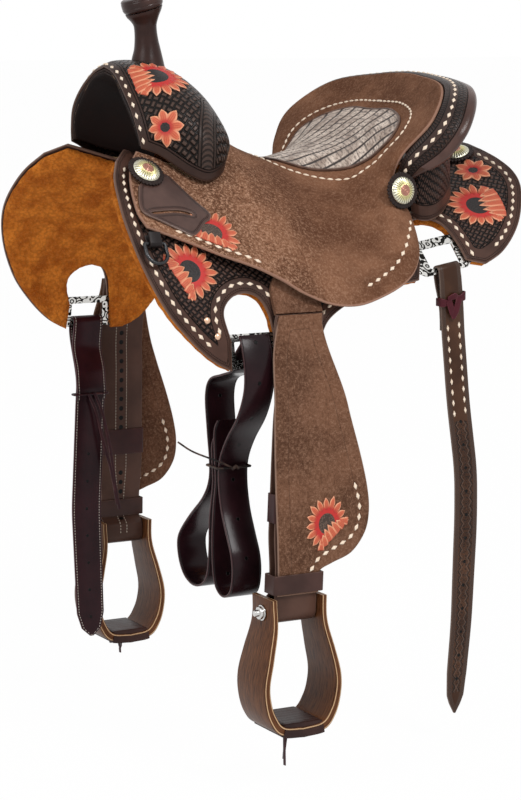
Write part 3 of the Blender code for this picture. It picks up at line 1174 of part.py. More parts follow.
INLAY_STANDOFF = 0.0017
INLAY_OUTLINE = np.array([(7.25, 0), (7.4, 0.9), (7.9, 1.6), (8.8, 2.2), (9.8, 2.7), (10.6, 2.95), (11.3, 2.85),
                          (11.65, 2.2), (11.7, 1.3), (11.6, 0.6), (11.55, 0)])


def main():
    for old in list(bpy.data.objects):
        bpy.data.objects.remove(old)
    build_skirts()
    build_tree()
    build_swell()
    build_seat()
    build_cantle()
    build_inlay()
    build_trim()
    for tag, side in SIDES:
        build_leather_top(tag, side)
        build_leather(tag, side)
        build_fender(tag, side)
        build_stirrup(tag, side)
    build_straps()


main()
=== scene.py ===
import json
import math

import bmesh
import bpy
import numpy as np
from mathutils import Matrix, Vector
from mathutils.geometry import delaunay_2d_cdt

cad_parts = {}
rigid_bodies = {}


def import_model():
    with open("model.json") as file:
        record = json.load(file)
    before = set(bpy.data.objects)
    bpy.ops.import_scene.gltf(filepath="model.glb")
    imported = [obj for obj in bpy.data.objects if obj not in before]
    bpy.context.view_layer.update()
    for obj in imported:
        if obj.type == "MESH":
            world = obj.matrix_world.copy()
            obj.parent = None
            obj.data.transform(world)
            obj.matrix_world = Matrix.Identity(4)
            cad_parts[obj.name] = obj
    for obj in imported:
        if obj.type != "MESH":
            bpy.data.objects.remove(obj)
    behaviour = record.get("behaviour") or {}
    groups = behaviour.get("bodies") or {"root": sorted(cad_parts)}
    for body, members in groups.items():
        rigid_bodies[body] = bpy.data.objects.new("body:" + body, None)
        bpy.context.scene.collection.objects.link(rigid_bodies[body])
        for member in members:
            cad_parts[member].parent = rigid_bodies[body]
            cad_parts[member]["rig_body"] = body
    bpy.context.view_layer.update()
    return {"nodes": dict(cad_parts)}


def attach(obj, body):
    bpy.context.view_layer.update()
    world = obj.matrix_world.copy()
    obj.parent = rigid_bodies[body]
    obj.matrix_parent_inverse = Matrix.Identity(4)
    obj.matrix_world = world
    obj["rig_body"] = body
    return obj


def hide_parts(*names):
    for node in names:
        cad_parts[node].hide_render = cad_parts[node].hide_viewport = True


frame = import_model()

# The saddle's looks. Metres, +Z up, horn towards -X, near side -Y.
# Half shapes are drawn for the far side (+Y) and mirrored with side = -1 for the near one.
sides = (("near", -1), ("far", 1))
print("stage: frame loaded,", len(frame["nodes"]), "nodes")


# Camera: level with the horn, a little above the saddle
camera = {"spot": (-1.7479, -3.2057, .2394), "heading": 28.609, "pitch": -4.951, "roll": .05, "lens": 113.035,
    "shiftY": -.2}


def setCamera(c):
    head, pitch, roll = (math.radians(c[k]) for k in ("heading", "pitch", "roll"))
    ahead = Vector((math.sin(head) * math.cos(pitch), math.cos(head) * math.cos(pitch), math.sin(pitch)))
    right = Vector((math.cos(head), -math.sin(head), 0))
    up = right.cross(ahead)
    rightTurned = right * math.cos(roll) + up * math.sin(roll)
    upTurned = up * math.cos(roll) - right * math.sin(roll)
    data = bpy.data.cameras.new("camera")
    data.sensor_fit = "VERTICAL"
    data.sensor_height = 36
    data.lens = c["lens"]
    data.shift_y = c["shiftY"]
    data.clip_end = 400
    made = bpy.data.objects.new("camera", data)
    turn = Matrix((rightTurned, upTurned, -ahead)).transposed().to_4x4()
    turn.translation = Vector(c["spot"])
    made.matrix_world = turn
    bpy.context.scene.collection.objects.link(made)
    bpy.context.scene.camera = made


setCamera(camera)


# Curves and surfaces

def cmRows(*points):
    return np.array(points, float) * .01


def cubic(four, start, last, f):
    # the cubic between the middle two of four rows, going on straight past the ends
    before, here, there, after = four
    before = np.where(start == 0, 2 * here - there, before)
    after = np.where(start == last - 1, 2 * there - here, after)
    return .5 * (2 * here + (there - before) * f + (2 * before - 5 * here + 4 * there - after) * f ** 2
        + (3 * here - before - 3 * there + after) * f ** 3)


def catmull(values, position):
    # smooth curve through the rows of values, read at fractional row positions
    last = len(values) - 1
    start = np.clip(np.floor(position).astype(int), 0, last - 1)
    tall = position.shape + (1,) * (values.ndim - 1)
    four = [values[np.clip(start + k, 0, last)] for k in (-1, 0, 1, 2)]
    return cubic(four, start.reshape(tall), last, (position - start).reshape(tall))


def netPoint(net, u, v):
    # point of a net of control rows: smooth along the rows first, then across them
    rows, last, pick = catmull(net, u), net.shape[1] - 1, np.arange(len(v))
    start = np.clip(np.floor(v).astype(int), 0, last - 1)
    four = [rows[pick, np.clip(start + k, 0, last)] for k in (-1, 0, 1, 2)]
    return cubic(four, start[:, None], last, (v - start)[:, None])


def walked(path):
    # the distance walked along a path to each of its points
    steps = np.linalg.norm(np.diff(path, axis=0), axis=1)
    return np.concatenate([[0], np.cumsum(steps)])


def readAt(wanted, places, rows):
    # rows of values, read between the places that they belong to
    return np.stack([np.interp(wanted, places, rows[:, k]) for k in range(rows.shape[1])], 1)


def smooth(points, count):
    # evenly spaced points on the smooth curve through the given ones
    points = np.asarray(points, float)
    fine = catmull(points, np.linspace(0, len(points) - 1, 24 * len(points)))
    length = walked(fine)
    return readAt(np.linspace(0, length[-1], count), length, fine)


def ease(value):
    value = np.clip(value, 0, 1)
    return value * value * (3 - 2 * value)


def unit(vectors):
    return vectors / np.maximum(np.linalg.norm(vectors, axis=-1, keepdims=True), 1e-12)


def mirror(points, side):
    return np.asarray(points, float) * (1, side, 1)


class Face:
    # a curved face of the far half, with positions (u, v) and a lift along its normal
    def __init__(self, point, limits):
        self.point = point
        self.limits = limits

    def slopes(self, u, v):
        step = 1e-3
        along = (self.point(u + step, v) - self.point(u - step, v)) / (2 * step)
        across = (self.point(u, v + step) - self.point(u, v - step)) / (2 * step)
        return along, across

    def normal(self, u, v):
        along, across = self.slopes(u, v)
        centred = np.abs(self.point(u, v)[:, 1]) < 1e-6
        along[centred, 1] = 0
        across[centred] = (0, 1, 0)
        return unit(np.cross(along, across))

    def at(self, u, v, lift=0.0):
        u, v = np.atleast_1d(np.asarray(u, float)), np.atleast_1d(np.asarray(v, float))
        return self.point(u, v) + self.normal(u, v) * np.reshape(lift, (-1, 1))

    def nearest(self, targets, axes=None):
        # the closest positions to points in space, or to their coordinates along two axes
        targets = np.atleast_2d(targets)
        seen = (lambda p: p) if axes is None else (lambda p: p[:, axes])
        (u0, u1), (v0, v1) = self.limits
        gridU, gridV = (g.ravel() for g in np.meshgrid(np.linspace(u0, u1, 60), np.linspace(v0, v1, 60)))
        grid = seen(self.point(gridU, gridV))
        pick = np.concatenate([np.argmin(((part[:, None] - grid[None]) ** 2).sum(2), axis=1)
            for part in np.array_split(targets, len(targets) // 400 + 1)])
        u, v = gridU[pick], gridV[pick]
        for _ in range(9):
            off = targets - seen(self.point(u, v))
            along, across = (seen(s) for s in self.slopes(u, v))
            aa, ab, bb = (along * along).sum(1), (along * across).sum(1), (across * across).sum(1)
            ra, rb = (along * off).sum(1), (across * off).sum(1)
            area = np.maximum(aa * bb - ab * ab, 1e-16)
            u = np.clip(u + (ra * bb - rb * ab) / area, u0, u1)
            v = np.clip(v + (rb * aa - ra * ab) / area, v0, v1)
        return np.stack([u, v], 1)


skirtStations = (-.28, 0.0, .32)
skirtSections = (cmRows((0, 10.5), (6, 9.4), (10, 7), (14.2, 3), (18.5, -1), (22, -5), (24.2, -9),
    (25.6, -13), (26.6, -17), (27.5, -22)), cmRows((0, .5), (6, 0), (10.5, -1.4), (15, -3.5), (19, -6.1),
    (22, -8.7), (24.2, -11.5), (25.6, -14.5), (26.5, -18), (27.4, -22)),
    cmRows((0, 6.2), (5, 5.6), (10, 3.6), (14, 1.2), (17.5, -1.4), (20, -4), (22, -7.2), (23.6, -10.8),
    (24.8, -14.5), (25.6, -18)),)


def skirtPoint(x, v):
    # the three sections, joined by the parabola through the stations
    a, b, c = skirtStations
    weights = ((x - b) * (x - c) / ((a - b) * (a - c)), (x - a) * (x - c) / ((b - a) * (b - c)), (x - a)
        * (x - b) / ((c - a) * (c - b)))
    section = sum(w[:, None] * catmull(s, v) for w, s in zip(weights, skirtSections))
    return np.column_stack([x, section])


def netFace(net):
    def point(u, v):
        found = netPoint(net, u, v)
        found[:, 1] = np.maximum(found[:, 1], 0)
        return found
    return Face(point, ((0, net.shape[0] - 1), (0, net.shape[1] - 1)))


seatRows = np.array([cmRows((-25.6, 11.6, 6.5), (-27.2, 13.4, 5.1), (-28.3, 15.2, 3.5), (-29, 17, 1.9),
    (-29.4, 18.7, .3), (-29.5, 20.3, -1.4), (-28.9, 21.8, -3.1)), cmRows((-22, 12.2, 5.2), (-22.4, 13.6, 4),
    (-22.8, 15.1, 2.7), (-23.1, 16.8, 1.1), (-23.4, 18.7, -.8), (-23.6, 20.8, -2.9), (-23.9, 22.9, -5)),
    cmRows((-18.3, 13.4, 2.9), (-18.5, 14.7, 1.8), (-18.7, 16.2, .5), (-18.9, 18, -1.1), (-19, 20, -3),
    (-19.1, 22.1, -5), (-19.1, 24.4, -7)), cmRows((-14.4, 12.6, 2.9), (-14.5, 14.3, 1.6), (-14.6, 16.2, .1),
    (-14.7, 18.3, -1.7), (-14.7, 20.7, -3.9), (-14.6, 23.2, -6.3), (-14.4, 25.7, -8.8)),
    cmRows((-11.6, 9, 5.9), (-11.7, 11.4, 4), (-11.7, 14, 1.8), (-11.7, 16.7, -.6), (-11.6, 19.7, -3.5),
    (-11.4, 23.1, -6.8), (-11.1, 26.8, -10.5)), cmRows((-10.2, 0, 9), (-10.2, 4.6, 7.9), (-10, 8.8, 5.7),
    (-9.8, 12.9, 2.8), (-9.5, 17, -.8), (-9, 21.8, -5.5), (-8.3, 27.6, -12.3)),
    cmRows((-5.6, 0, 6.4), (-5.5, 4.4, 5.7), (-5.4, 8.8, 3.8), (-5.3, 13.2, 1.1), (-5.1, 17.6, -2.5),
    (-4.7, 22.5, -7.2), (-4.2, 28.1, -14)), cmRows((-.5, 0, 4.4), (-.5, 4.4, 4), (-.5, 8.8, 2.4),
    (-.4, 13.2, -.1), (-.3, 17.8, -3.6), (-.2, 22.8, -8.2), (0, 28.2, -14.4)),
    cmRows((4, 0, 4), (3.9, 4.4, 3.7), (3.8, 8.8, 2.3), (3.7, 13.2, -.1), (3.6, 17.8, -3.5), (3.8, 22.6, -8),
    (4, 27.8, -13.5)), cmRows((8.6, 0, 4.7), (8.4, 4.4, 4.5), (7.9, 8.8, 3.4), (7.4, 13, 1.3),
    (7.1, 17.2, -1.8), (7.4, 21.8, -6.2), (8, 27, -12)), cmRows((13, 0, 6.5), (12.7, 4.4, 6.3),
    (11.7, 8.8, 5.3), (10.4, 12.8, 3.6), (9.5, 16.6, 1), (9.8, 20.6, -3), (10.6, 25.8, -10.4)),
    cmRows((17, 0, 9.2), (16.6, 4.4, 9), (15.2, 9.2, 8), (13, 13.4, 6.2), (11.1, 16.2, 3.8),
    (11.3, 18.6, -.2), (12.5, 23.9, -8.2)), cmRows((20.5, 0, 12.6), (20.1, 5, 12.3), (18.3, 11.4, 11),
    (15.3, 16, 8.9), (12, 17.6, 5.4), (12, 17.6, 1), (13.6, 21.4, -6)),
    cmRows((23.9, 0, 16.6), (23.4, 5.6, 16.3), (20.9, 15.9, 14.9), (16.2, 20.9, 10.4), (12.5, 18.9, 5.3),
    (12.4, 17.2, 1.2), (14.3, 18.4, -3)),])
swellRows = np.array([cmRows((-25.1, 0, 18), (-25.2, 3.4, 17), (-25.5, 7.1, 14.5), (-25.5, 9.8, 11.8),
    (-25.2, 11.1, 9), (-24.9, 11.7, 6.8)), cmRows((-23.4, 0, 18.6), (-23.3, 4, 17.8), (-23.2, 8.3, 15.4),
    (-23.1, 11.3, 12.4), (-22.9, 12.7, 9), (-22.6, 13, 5.7)), cmRows((-20, 0, 18.6), (-20, 4.6, 18),
    (-19.9, 9.4, 15.8), (-19.8, 13, 12.4), (-19.6, 14.6, 8.3), (-19.4, 14.6, 3.3)),
    cmRows((-16.6, 0, 17.6), (-16.5, 4.8, 17), (-16.4, 10, 14.8), (-16.4, 13.8, 11.2), (-16.4, 15.6, 7),
    (-16.5, 15.1, 2.2)), cmRows((-14, 0, 15.6), (-13.9, 4.8, 15), (-13.7, 9.6, 13.1), (-13.5, 13, 10),
    (-13.5, 14.4, 6.8), (-13.6, 13.9, 3.0)), cmRows((-12, 0, 12.7), (-11.9, 4.5, 12), (-11.7, 8.6, 10.5),
    (-11.6, 11.5, 8.6), (-11.7, 12.6, 6.8), (-12.2, 12.2, 4.6)), cmRows((-10.9, 0, 10.1), (-10.9, 4.2, 9.3),
    (-10.9, 7.4, 8.2), (-11.1, 9.4, 7.3), (-11.5, 10.4, 6.6), (-12, 10.8, 5.9)),])
gulletRows = np.array([cmRows((-25, 0, 16.9), (-25.1, 3.3, 16), (-25.3, 6.2, 13.6), (-25.3, 8.8, 11),
    (-25, 10, 8.8), (-24.6, 10.5, 7.2)), cmRows((-21, 0, 14.9), (-21, 3.4, 14.1), (-21, 6.5, 12),
    (-21, 8.8, 9.5), (-21, 9.8, 7.4), (-21, 10.1, 5.9)), cmRows((-17, 0, 12), (-17, 3.3, 11.4),
    (-17, 6.2, 9.8), (-17, 8.2, 7.7), (-17, 9, 6), (-17, 9.3, 4.8)), cmRows((-13.2, 0, 8.6), (-13.2, 3, 8.1),
    (-13.2, 5.6, 7), (-13.2, 7.4, 5.5), (-13.2, 8.25, 4.2), (-13.2, 8.62, 3.33)),])
skirtFace = Face(skirtPoint, ((-.33, .37), (0, 9)))
seatFace = netFace(seatRows)
swellFace = netFace(swellRows)
gulletFace = netFace(gulletRows)
sideView, plan = [0, 2], [0, 1]


# Meshes

def gridFaces(rows, columns, closed=False):
    # quads between neighbouring points of a rows-by-columns grid
    r, c = np.meshgrid(np.arange(rows - 1), np.arange(columns if closed else columns - 1), indexing="ij")
    d = (c + 1) % columns
    corners = [r * columns + c, (r + 1) * columns + c, (r + 1) * columns + d, r * columns + d]
    return np.stack(corners, -1).reshape(-1, 4)


def ringFaces(n, m, capped=True):
    # quads round n rings of m points, with a face over each end
    caps = [list(range(m)), list(range((n - 1) * m, n * m))[::-1]] if capped else []
    return gridFaces(n, m, closed=True).tolist() + caps


def closeSheet(outer, inner, faces):
    # an outer and an inner skin joined by walls along their open edges
    count, faces = len(outer), np.asarray(faces)
    edges = np.concatenate([faces[:, [k, (k + 1) % faces.shape[1]]] for k in range(faces.shape[1])])
    _, where, times = np.unique(np.sort(edges, axis=1), axis=0, return_index=True, return_counts=True)
    rim = edges[where[times == 1]]
    wall = np.column_stack([rim[:, 1], rim[:, 0], rim[:, 0] + count, rim[:, 1] + count])
    return np.vstack([outer, inner]), faces.tolist() + (faces[:, ::-1] + count).tolist() + wall.tolist()


def bodyOf(node):
    return frame["nodes"][node]["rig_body"]


def addMesh(name, points, faces, finish, node=None, body="saddle", uv=None, marks=None, slotName=None,
        sharp=50):
    # one closed mesh: its place in its vertices, its flat map and marks carried along, normals outwards
    # a piece that stands for a node rides on the node's body; the slotName it is given is not used
    mesh = bpy.data.meshes.new(name)
    mesh.from_pydata(np.asarray(points, float).tolist(), [], [tuple(f) for f in faces])
    if uv is not None:
        corner = np.empty(len(mesh.loops), np.int32)
        mesh.loops.foreach_get("vertex_index", corner)
        mesh.uv_layers.new(name="flat").data.foreach_set("uv", np.asarray(uv, np.float32)[corner].ravel())
    for key, values in (marks or {}).items():
        values = np.asarray(values, np.float32)
        if values.ndim == 1:
            mesh.attributes.new(key, "FLOAT", "POINT").data.foreach_set("value", values)
        else:
            values = np.column_stack([values, np.ones(len(values), np.float32)])
            mesh.attributes.new(key, "FLOAT_COLOR", "POINT").data.foreach_set("color", values.ravel())
    work = bmesh.new()
    work.from_mesh(mesh)
    bmesh.ops.remove_doubles(work, verts=work.verts, dist=1e-6)
    bmesh.ops.recalc_face_normals(work, faces=work.faces)
    if work.calc_volume(signed=True) < 0:
        bmesh.ops.reverse_faces(work, faces=work.faces)
    work.to_mesh(mesh)
    work.free()
    mesh.materials.append(finishes[finish])
    mesh.shade_smooth()
    mesh.set_sharp_from_angle(angle=math.radians(sharp))
    made = bpy.data.objects.new(name, mesh)
    bpy.context.scene.collection.objects.link(made)
    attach(made, bodyOf(node) if node else body)
    if node:
        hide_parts(node)
    return made


def inside(points, ring):
    x, y = points[:, 0][:, None], points[:, 1][:, None]
    x0, y0 = ring[:, 0], ring[:, 1]
    x1, y1 = np.roll(x0, -1), np.roll(y0, -1)
    rise = np.where(y1 == y0, 1e-12, y1 - y0)
    crosses = ((y0 > y) != (y1 > y)) & (x < (x1 - x0) * (y - y0) / rise + x0)
    return crosses.sum(1) % 2 == 1


def lineDistance(points, line):
    # distance to an open line, and how far along it the nearest spot is, in any number of dimensions
    along, start = np.diff(line, axis=0), walked(line)
    span = np.linalg.norm(along, axis=1)
    gaps, spots = [], []
    for part in np.array_split(points, len(points) // 1500 + 1):
        share = np.clip(((part[:, None] - line[:-1]) * along).sum(2) / np.maximum(span ** 2, 1e-16), 0, 1)
        gap = np.linalg.norm(part[:, None] - line[:-1] - share[..., None] * along, axis=2)
        pick, rows = gap.argmin(1), np.arange(len(part))
        gaps.append(gap[rows, pick])
        spots.append(start[pick] + share[rows, pick] * span[pick])
    return np.concatenate(gaps), np.concatenate(spots)


def ringDistance(points, ring):
    return lineDistance(points, np.vstack([ring, ring[:1]]))


def insetRing(ring, distance):
    # a closed flat ring moved towards its inside
    tangent = unit(np.roll(ring, -1, axis=0) - np.roll(ring, 1, axis=0))
    area = (ring[:, 0] * np.roll(ring[:, 1], -1) - np.roll(ring[:, 0], -1) * ring[:, 1]).sum()
    return ring + np.column_stack([-tangent[:, 1], tangent[:, 0]]) * distance * np.sign(area)


def cutCells(rings, cell, scale, bevel):
    # triangles inside the first ring and outside the others, finer at the bevelled edges
    rings = [np.asarray(r, float) * scale for r in rings]
    points = np.vstack(rings)
    edges, start = [], 0
    for ring in rings:
        n = len(ring)
        edges += [(start + k, start + (k + 1) % n) for k in range(n)]
        start += n
    low, high = points.min(0), points.max(0)
    grid = np.stack(np.meshgrid(np.arange(low[0], high[0], cell), np.arange(low[1], high[1], cell)), -1)
    grid[1::2, :, 0] += cell / 2
    grid = grid.reshape(-1, 2)
    lanes = [insetRing(r, bevel if k == 0 else -bevel) for k, r in enumerate(rings)]
    everything = []
    for extra, clear in ((np.vstack(lanes), bevel * .7), (grid, bevel + cell * .5)):
        keep = inside(extra, rings[0])
        for ring in rings[1:]:
            keep &= ~inside(extra, ring)
        extra = extra[keep]
        gap = np.min([ringDistance(extra, r)[0] for r in rings], axis=0)
        everything.append(extra[gap > clear])
    flat = np.vstack([points] + everything)
    result = delaunay_2d_cdt([Vector(p) for p in flat], edges, [], 0, 1e-7)
    corners = np.array([tuple(v) for v in result[0]])
    faces = np.array(result[2])
    middles = corners[faces].mean(1)
    keep = inside(middles, rings[0])
    for ring in rings[1:]:
        keep &= ~inside(middles, ring)
    used, faces = np.unique(faces[keep], return_inverse=True)
    return corners[used] / scale, faces.reshape(-1, 3)


def cutSheet(name, face, rings, cell, scale, lifts, side, finish, bevel=.0012, **more):
    # leather cut to a pattern and laid on a face; its edges are rounded on both skins
    flat, faces = cutCells(rings, cell, np.asarray(scale, float), bevel)
    u, v = flat.T
    middle = face.at(u, v, np.mean(lifts))
    gap, spot = np.full(len(flat), 9.0), np.zeros(len(flat))
    for ring in rings:
        g, s = ringDistance(middle, face.at(ring[:, 0], ring[:, 1], np.mean(lifts)))
        spot = np.where(g < gap, s, spot)
        gap = np.minimum(gap, g)
    lip = (lifts[0] - lifts[1]) * .3 * (1 - ease(gap / bevel))
    both = [mirror(face.at(u, v, lift), side) for lift in (lifts[0] - lip, lifts[1] + lip)]
    for skin in both:
        skin[:, 1] = side * np.maximum(side * skin[:, 1], .0006)
    points, faces = closeSheet(*both, faces)
    uv = np.vstack([flat * scale, flat * scale + (0, 3)])
    marks = {"edge": np.tile(gap, 2), "along": np.tile(spot, 2)}
    return addMesh(name, points, faces, finish, uv=uv, marks=marks, **more)


def headings(path, closed=False):
    # the direction of a path at each of its points
    if closed:
        return unit(np.roll(path, -1, axis=0) - np.roll(path, 1, axis=0))
    return unit(np.gradient(path, axis=0))


def strap(name, path, across, width, thickness, finish, closed=False, rim=.3, **more):
    # a rounded strap carried along a path: flat faces, half-round edges, its length and width as its map
    path = np.asarray(path, float)
    across = np.broadcast_to(unit(np.asarray(across, float)), path.shape)
    out, r = unit(np.cross(headings(path, closed), across)), thickness * rim
    turns = np.linspace(0, math.pi / 2, 3)
    signs = np.array([(1, 1)] * 3 + [(0, 1)] + [(-1, 1)] * 3 + [(-1, -1)] * 3 + [(0, -1)] + [(1, -1)] * 3)
    quarter = (np.column_stack([np.cos(turns), np.sin(turns)]) - 1) * r
    profile = quarter[[0, 1, 2, 2, 2, 1, 0, 0, 1, 2, 2, 2, 1, 0]] * signs
    half = np.maximum(np.broadcast_to(width, len(path)) / 2, r * 1.05)[:, None]
    a = half * signs[:, 0] + profile[:, 0]
    b = signs[:, 1] * thickness / 2 + profile[:, 1]
    rings = path[:, None] + across[:, None] * a[..., None] + out[:, None] * b[:, None]
    length, m = walked(path), len(signs)
    uv, rest = np.stack([np.repeat(length, m), a.ravel()], 1), np.repeat(half.ravel(), m)
    if closed:
        rings = np.concatenate([rings, rings[:1]])
        uv = np.vstack([uv, uv[:m] + (length[-1] + np.linalg.norm(path[-1] - path[0]), 0)])
        rest = np.full(len(uv), half.max())
    return addMesh(name, rings.reshape(-1, 3), ringFaces(len(rings), m, not closed), finish, uv=uv,
        marks={"edge": rest - np.abs(uv[:, 1])}, **more)


def tube(name, path, radius, sidesCount, finish, closed=False, **more):
    # a round cord or wire: a circle carried along the path without twist
    path = np.asarray(path, float)
    radius = np.broadcast_to(radius, len(path))
    tangent = headings(path, closed)
    out, frames = np.cross(tangent[0], (.31, .17, .93)), []
    for direction in tangent:
        out = unit(out - direction * (out @ direction))
        frames.append((out, np.cross(direction, out)))
    frames = np.array(frames)
    twist = math.atan2(frames[0, 0] @ frames[-1, 1], frames[0, 0] @ frames[-1, 0]) if closed else 0
    turns = np.linspace(0, 2 * math.pi, sidesCount, endpoint=False) + (twist * np.arange(len(path))
        / len(path))[:, None]
    rings = path[:, None] + radius[:, None, None] * (np.cos(turns)[..., None] * frames[:, None, 0]
        + np.sin(turns)[..., None] * frames[:, None, 1])
    if closed:
        rings = np.concatenate([rings, rings[:1]])
    return addMesh(name, rings.reshape(-1, 3), ringFaces(len(rings), sidesCount, not closed), finish, **more)


def turned(name, radii, heights, origin, axis, angles, finish, **more):
    # rings of the given radii and heights turned about an axis and closed at both ends
    axis = unit(np.asarray(axis, float))
    a = unit(np.cross(axis, (.13, .31, .94)))
    around = np.cos(angles)[:, None] * a + np.sin(angles)[:, None] * np.cross(axis, a)
    points = np.asarray(origin, float) + heights[..., None] * axis + radii[..., None] * around
    return addMesh(name, points.reshape(-1, 3), ringFaces(len(points), len(angles)), finish, **more)


def spun(name, profile, origin, axis, sidesCount, finish, **more):
    # a profile of (radius, height) rows, the same all round
    radii, heights = (np.asarray(profile, float)[:, k:k + 1] for k in (0, 1))
    return turned(name, radii, heights, origin, axis, np.linspace(0, 2 * math.pi, sidesCount, endpoint=False),
        finish, **more)


def stitches(name, spots, tangents, normals, size, point, **more):
    # small domed stitches at the spots: point 1 makes diamonds, 2 ovals; size is length, width, height
    turns = np.linspace(0, 2 * math.pi, 8, endpoint=False)
    c, s = np.cos(turns), np.sin(turns)
    reach = (np.abs(c) ** point + np.abs(s) ** point) ** (-1 / point)
    rim = np.column_stack([c * reach * size[0] / 2, s * reach * size[1] / 2])
    shape = np.vstack([np.column_stack([rim * share, np.full(8, height)]) for share,
        height in ((1, -.0006), (1, size[2] * .25), (.62, size[2] * .85))] + [(0, 0, size[2])])
    axes = [a[:, None] for a in (tangents, np.cross(normals, tangents), normals)]
    points = spots[:, None] + sum(a * shape[:, k, None] for k, a in enumerate(axes))
    one = ringFaces(3, 8, False) + [[16 + k, 16 + (k + 1) % 8, 24] for k in range(8)] + [list(range(8))[::-1]]
    faces = [[k + 25 * n for k in f] for n in range(len(spots)) for f in one]
    return addMesh(name, points.reshape(-1, 3), faces, "cream", sharp=80, **more)


def stitchRow(name, path, spec, flip=False, **more):
    # a row of buckstitches along spaced spots, tangents and normals; an inner row faces the other way
    spots, tangents, normals = path
    normals = -normals if flip else normals
    return stitches(name, spots + normals * spec["lift"], tangents, normals, spec["size"], spec["point"],
        **more)


def spacedPath(face, uvPoints, spacing, side, lift=0.0):
    # evenly spaced spots along a curve drawn on a face, with their tangents and normals
    uv = smooth(uvPoints, 300)
    points = face.at(uv[:, 0], uv[:, 1], lift)
    length = walked(points)
    wanted = np.linspace(0, length[-1], max(2, int(round(length[-1] / spacing)) + 1))
    u, v = readAt(wanted, length, uv).T
    ahead = readAt(wanted + 1e-3, length, points) - readAt(wanted - 1e-3, length, points)
    return mirror(face.at(u, v, lift), side), unit(mirror(ahead, side)), mirror(face.normal(u, v), side)


def insetPath(face, uvRing, distance, first, last, sign):
    # part of an outline, from its share first to last, moved over the face to a distance inside it
    u, v = smooth(uvRing, 500).T
    points = face.at(u, v)
    inwards = np.cross(face.normal(u, v), headings(points)) * sign
    return face.nearest((points + inwards * distance)[int(first * 499):int(last * 499):6])


# Materials

class Value:
    # a socket whose operators add Math nodes
    def __init__(self, shop, socket):
        self.shop = shop
        self.socket = socket

    def __add__(self, other):
        return self.shop.math("ADD", self, other)

    def __sub__(self, other):
        return self.shop.math("SUBTRACT", self, other)

    def __rsub__(self, other):
        return self.shop.math("SUBTRACT", other, self)

    def __mul__(self, other):
        return self.shop.math("MULTIPLY", self, other)

    def __truediv__(self, other):
        return self.shop.math("DIVIDE", self, other)

    def __gt__(self, other):
        return self.shop.math("GREATER_THAN", self, other)

    def __lt__(self, other):
        return self.shop.math("LESS_THAN", self, other)

    def __abs__(self):
        return self.shop.math("ABSOLUTE", self)

    __radd__ = __add__
    __rmul__ = __mul__


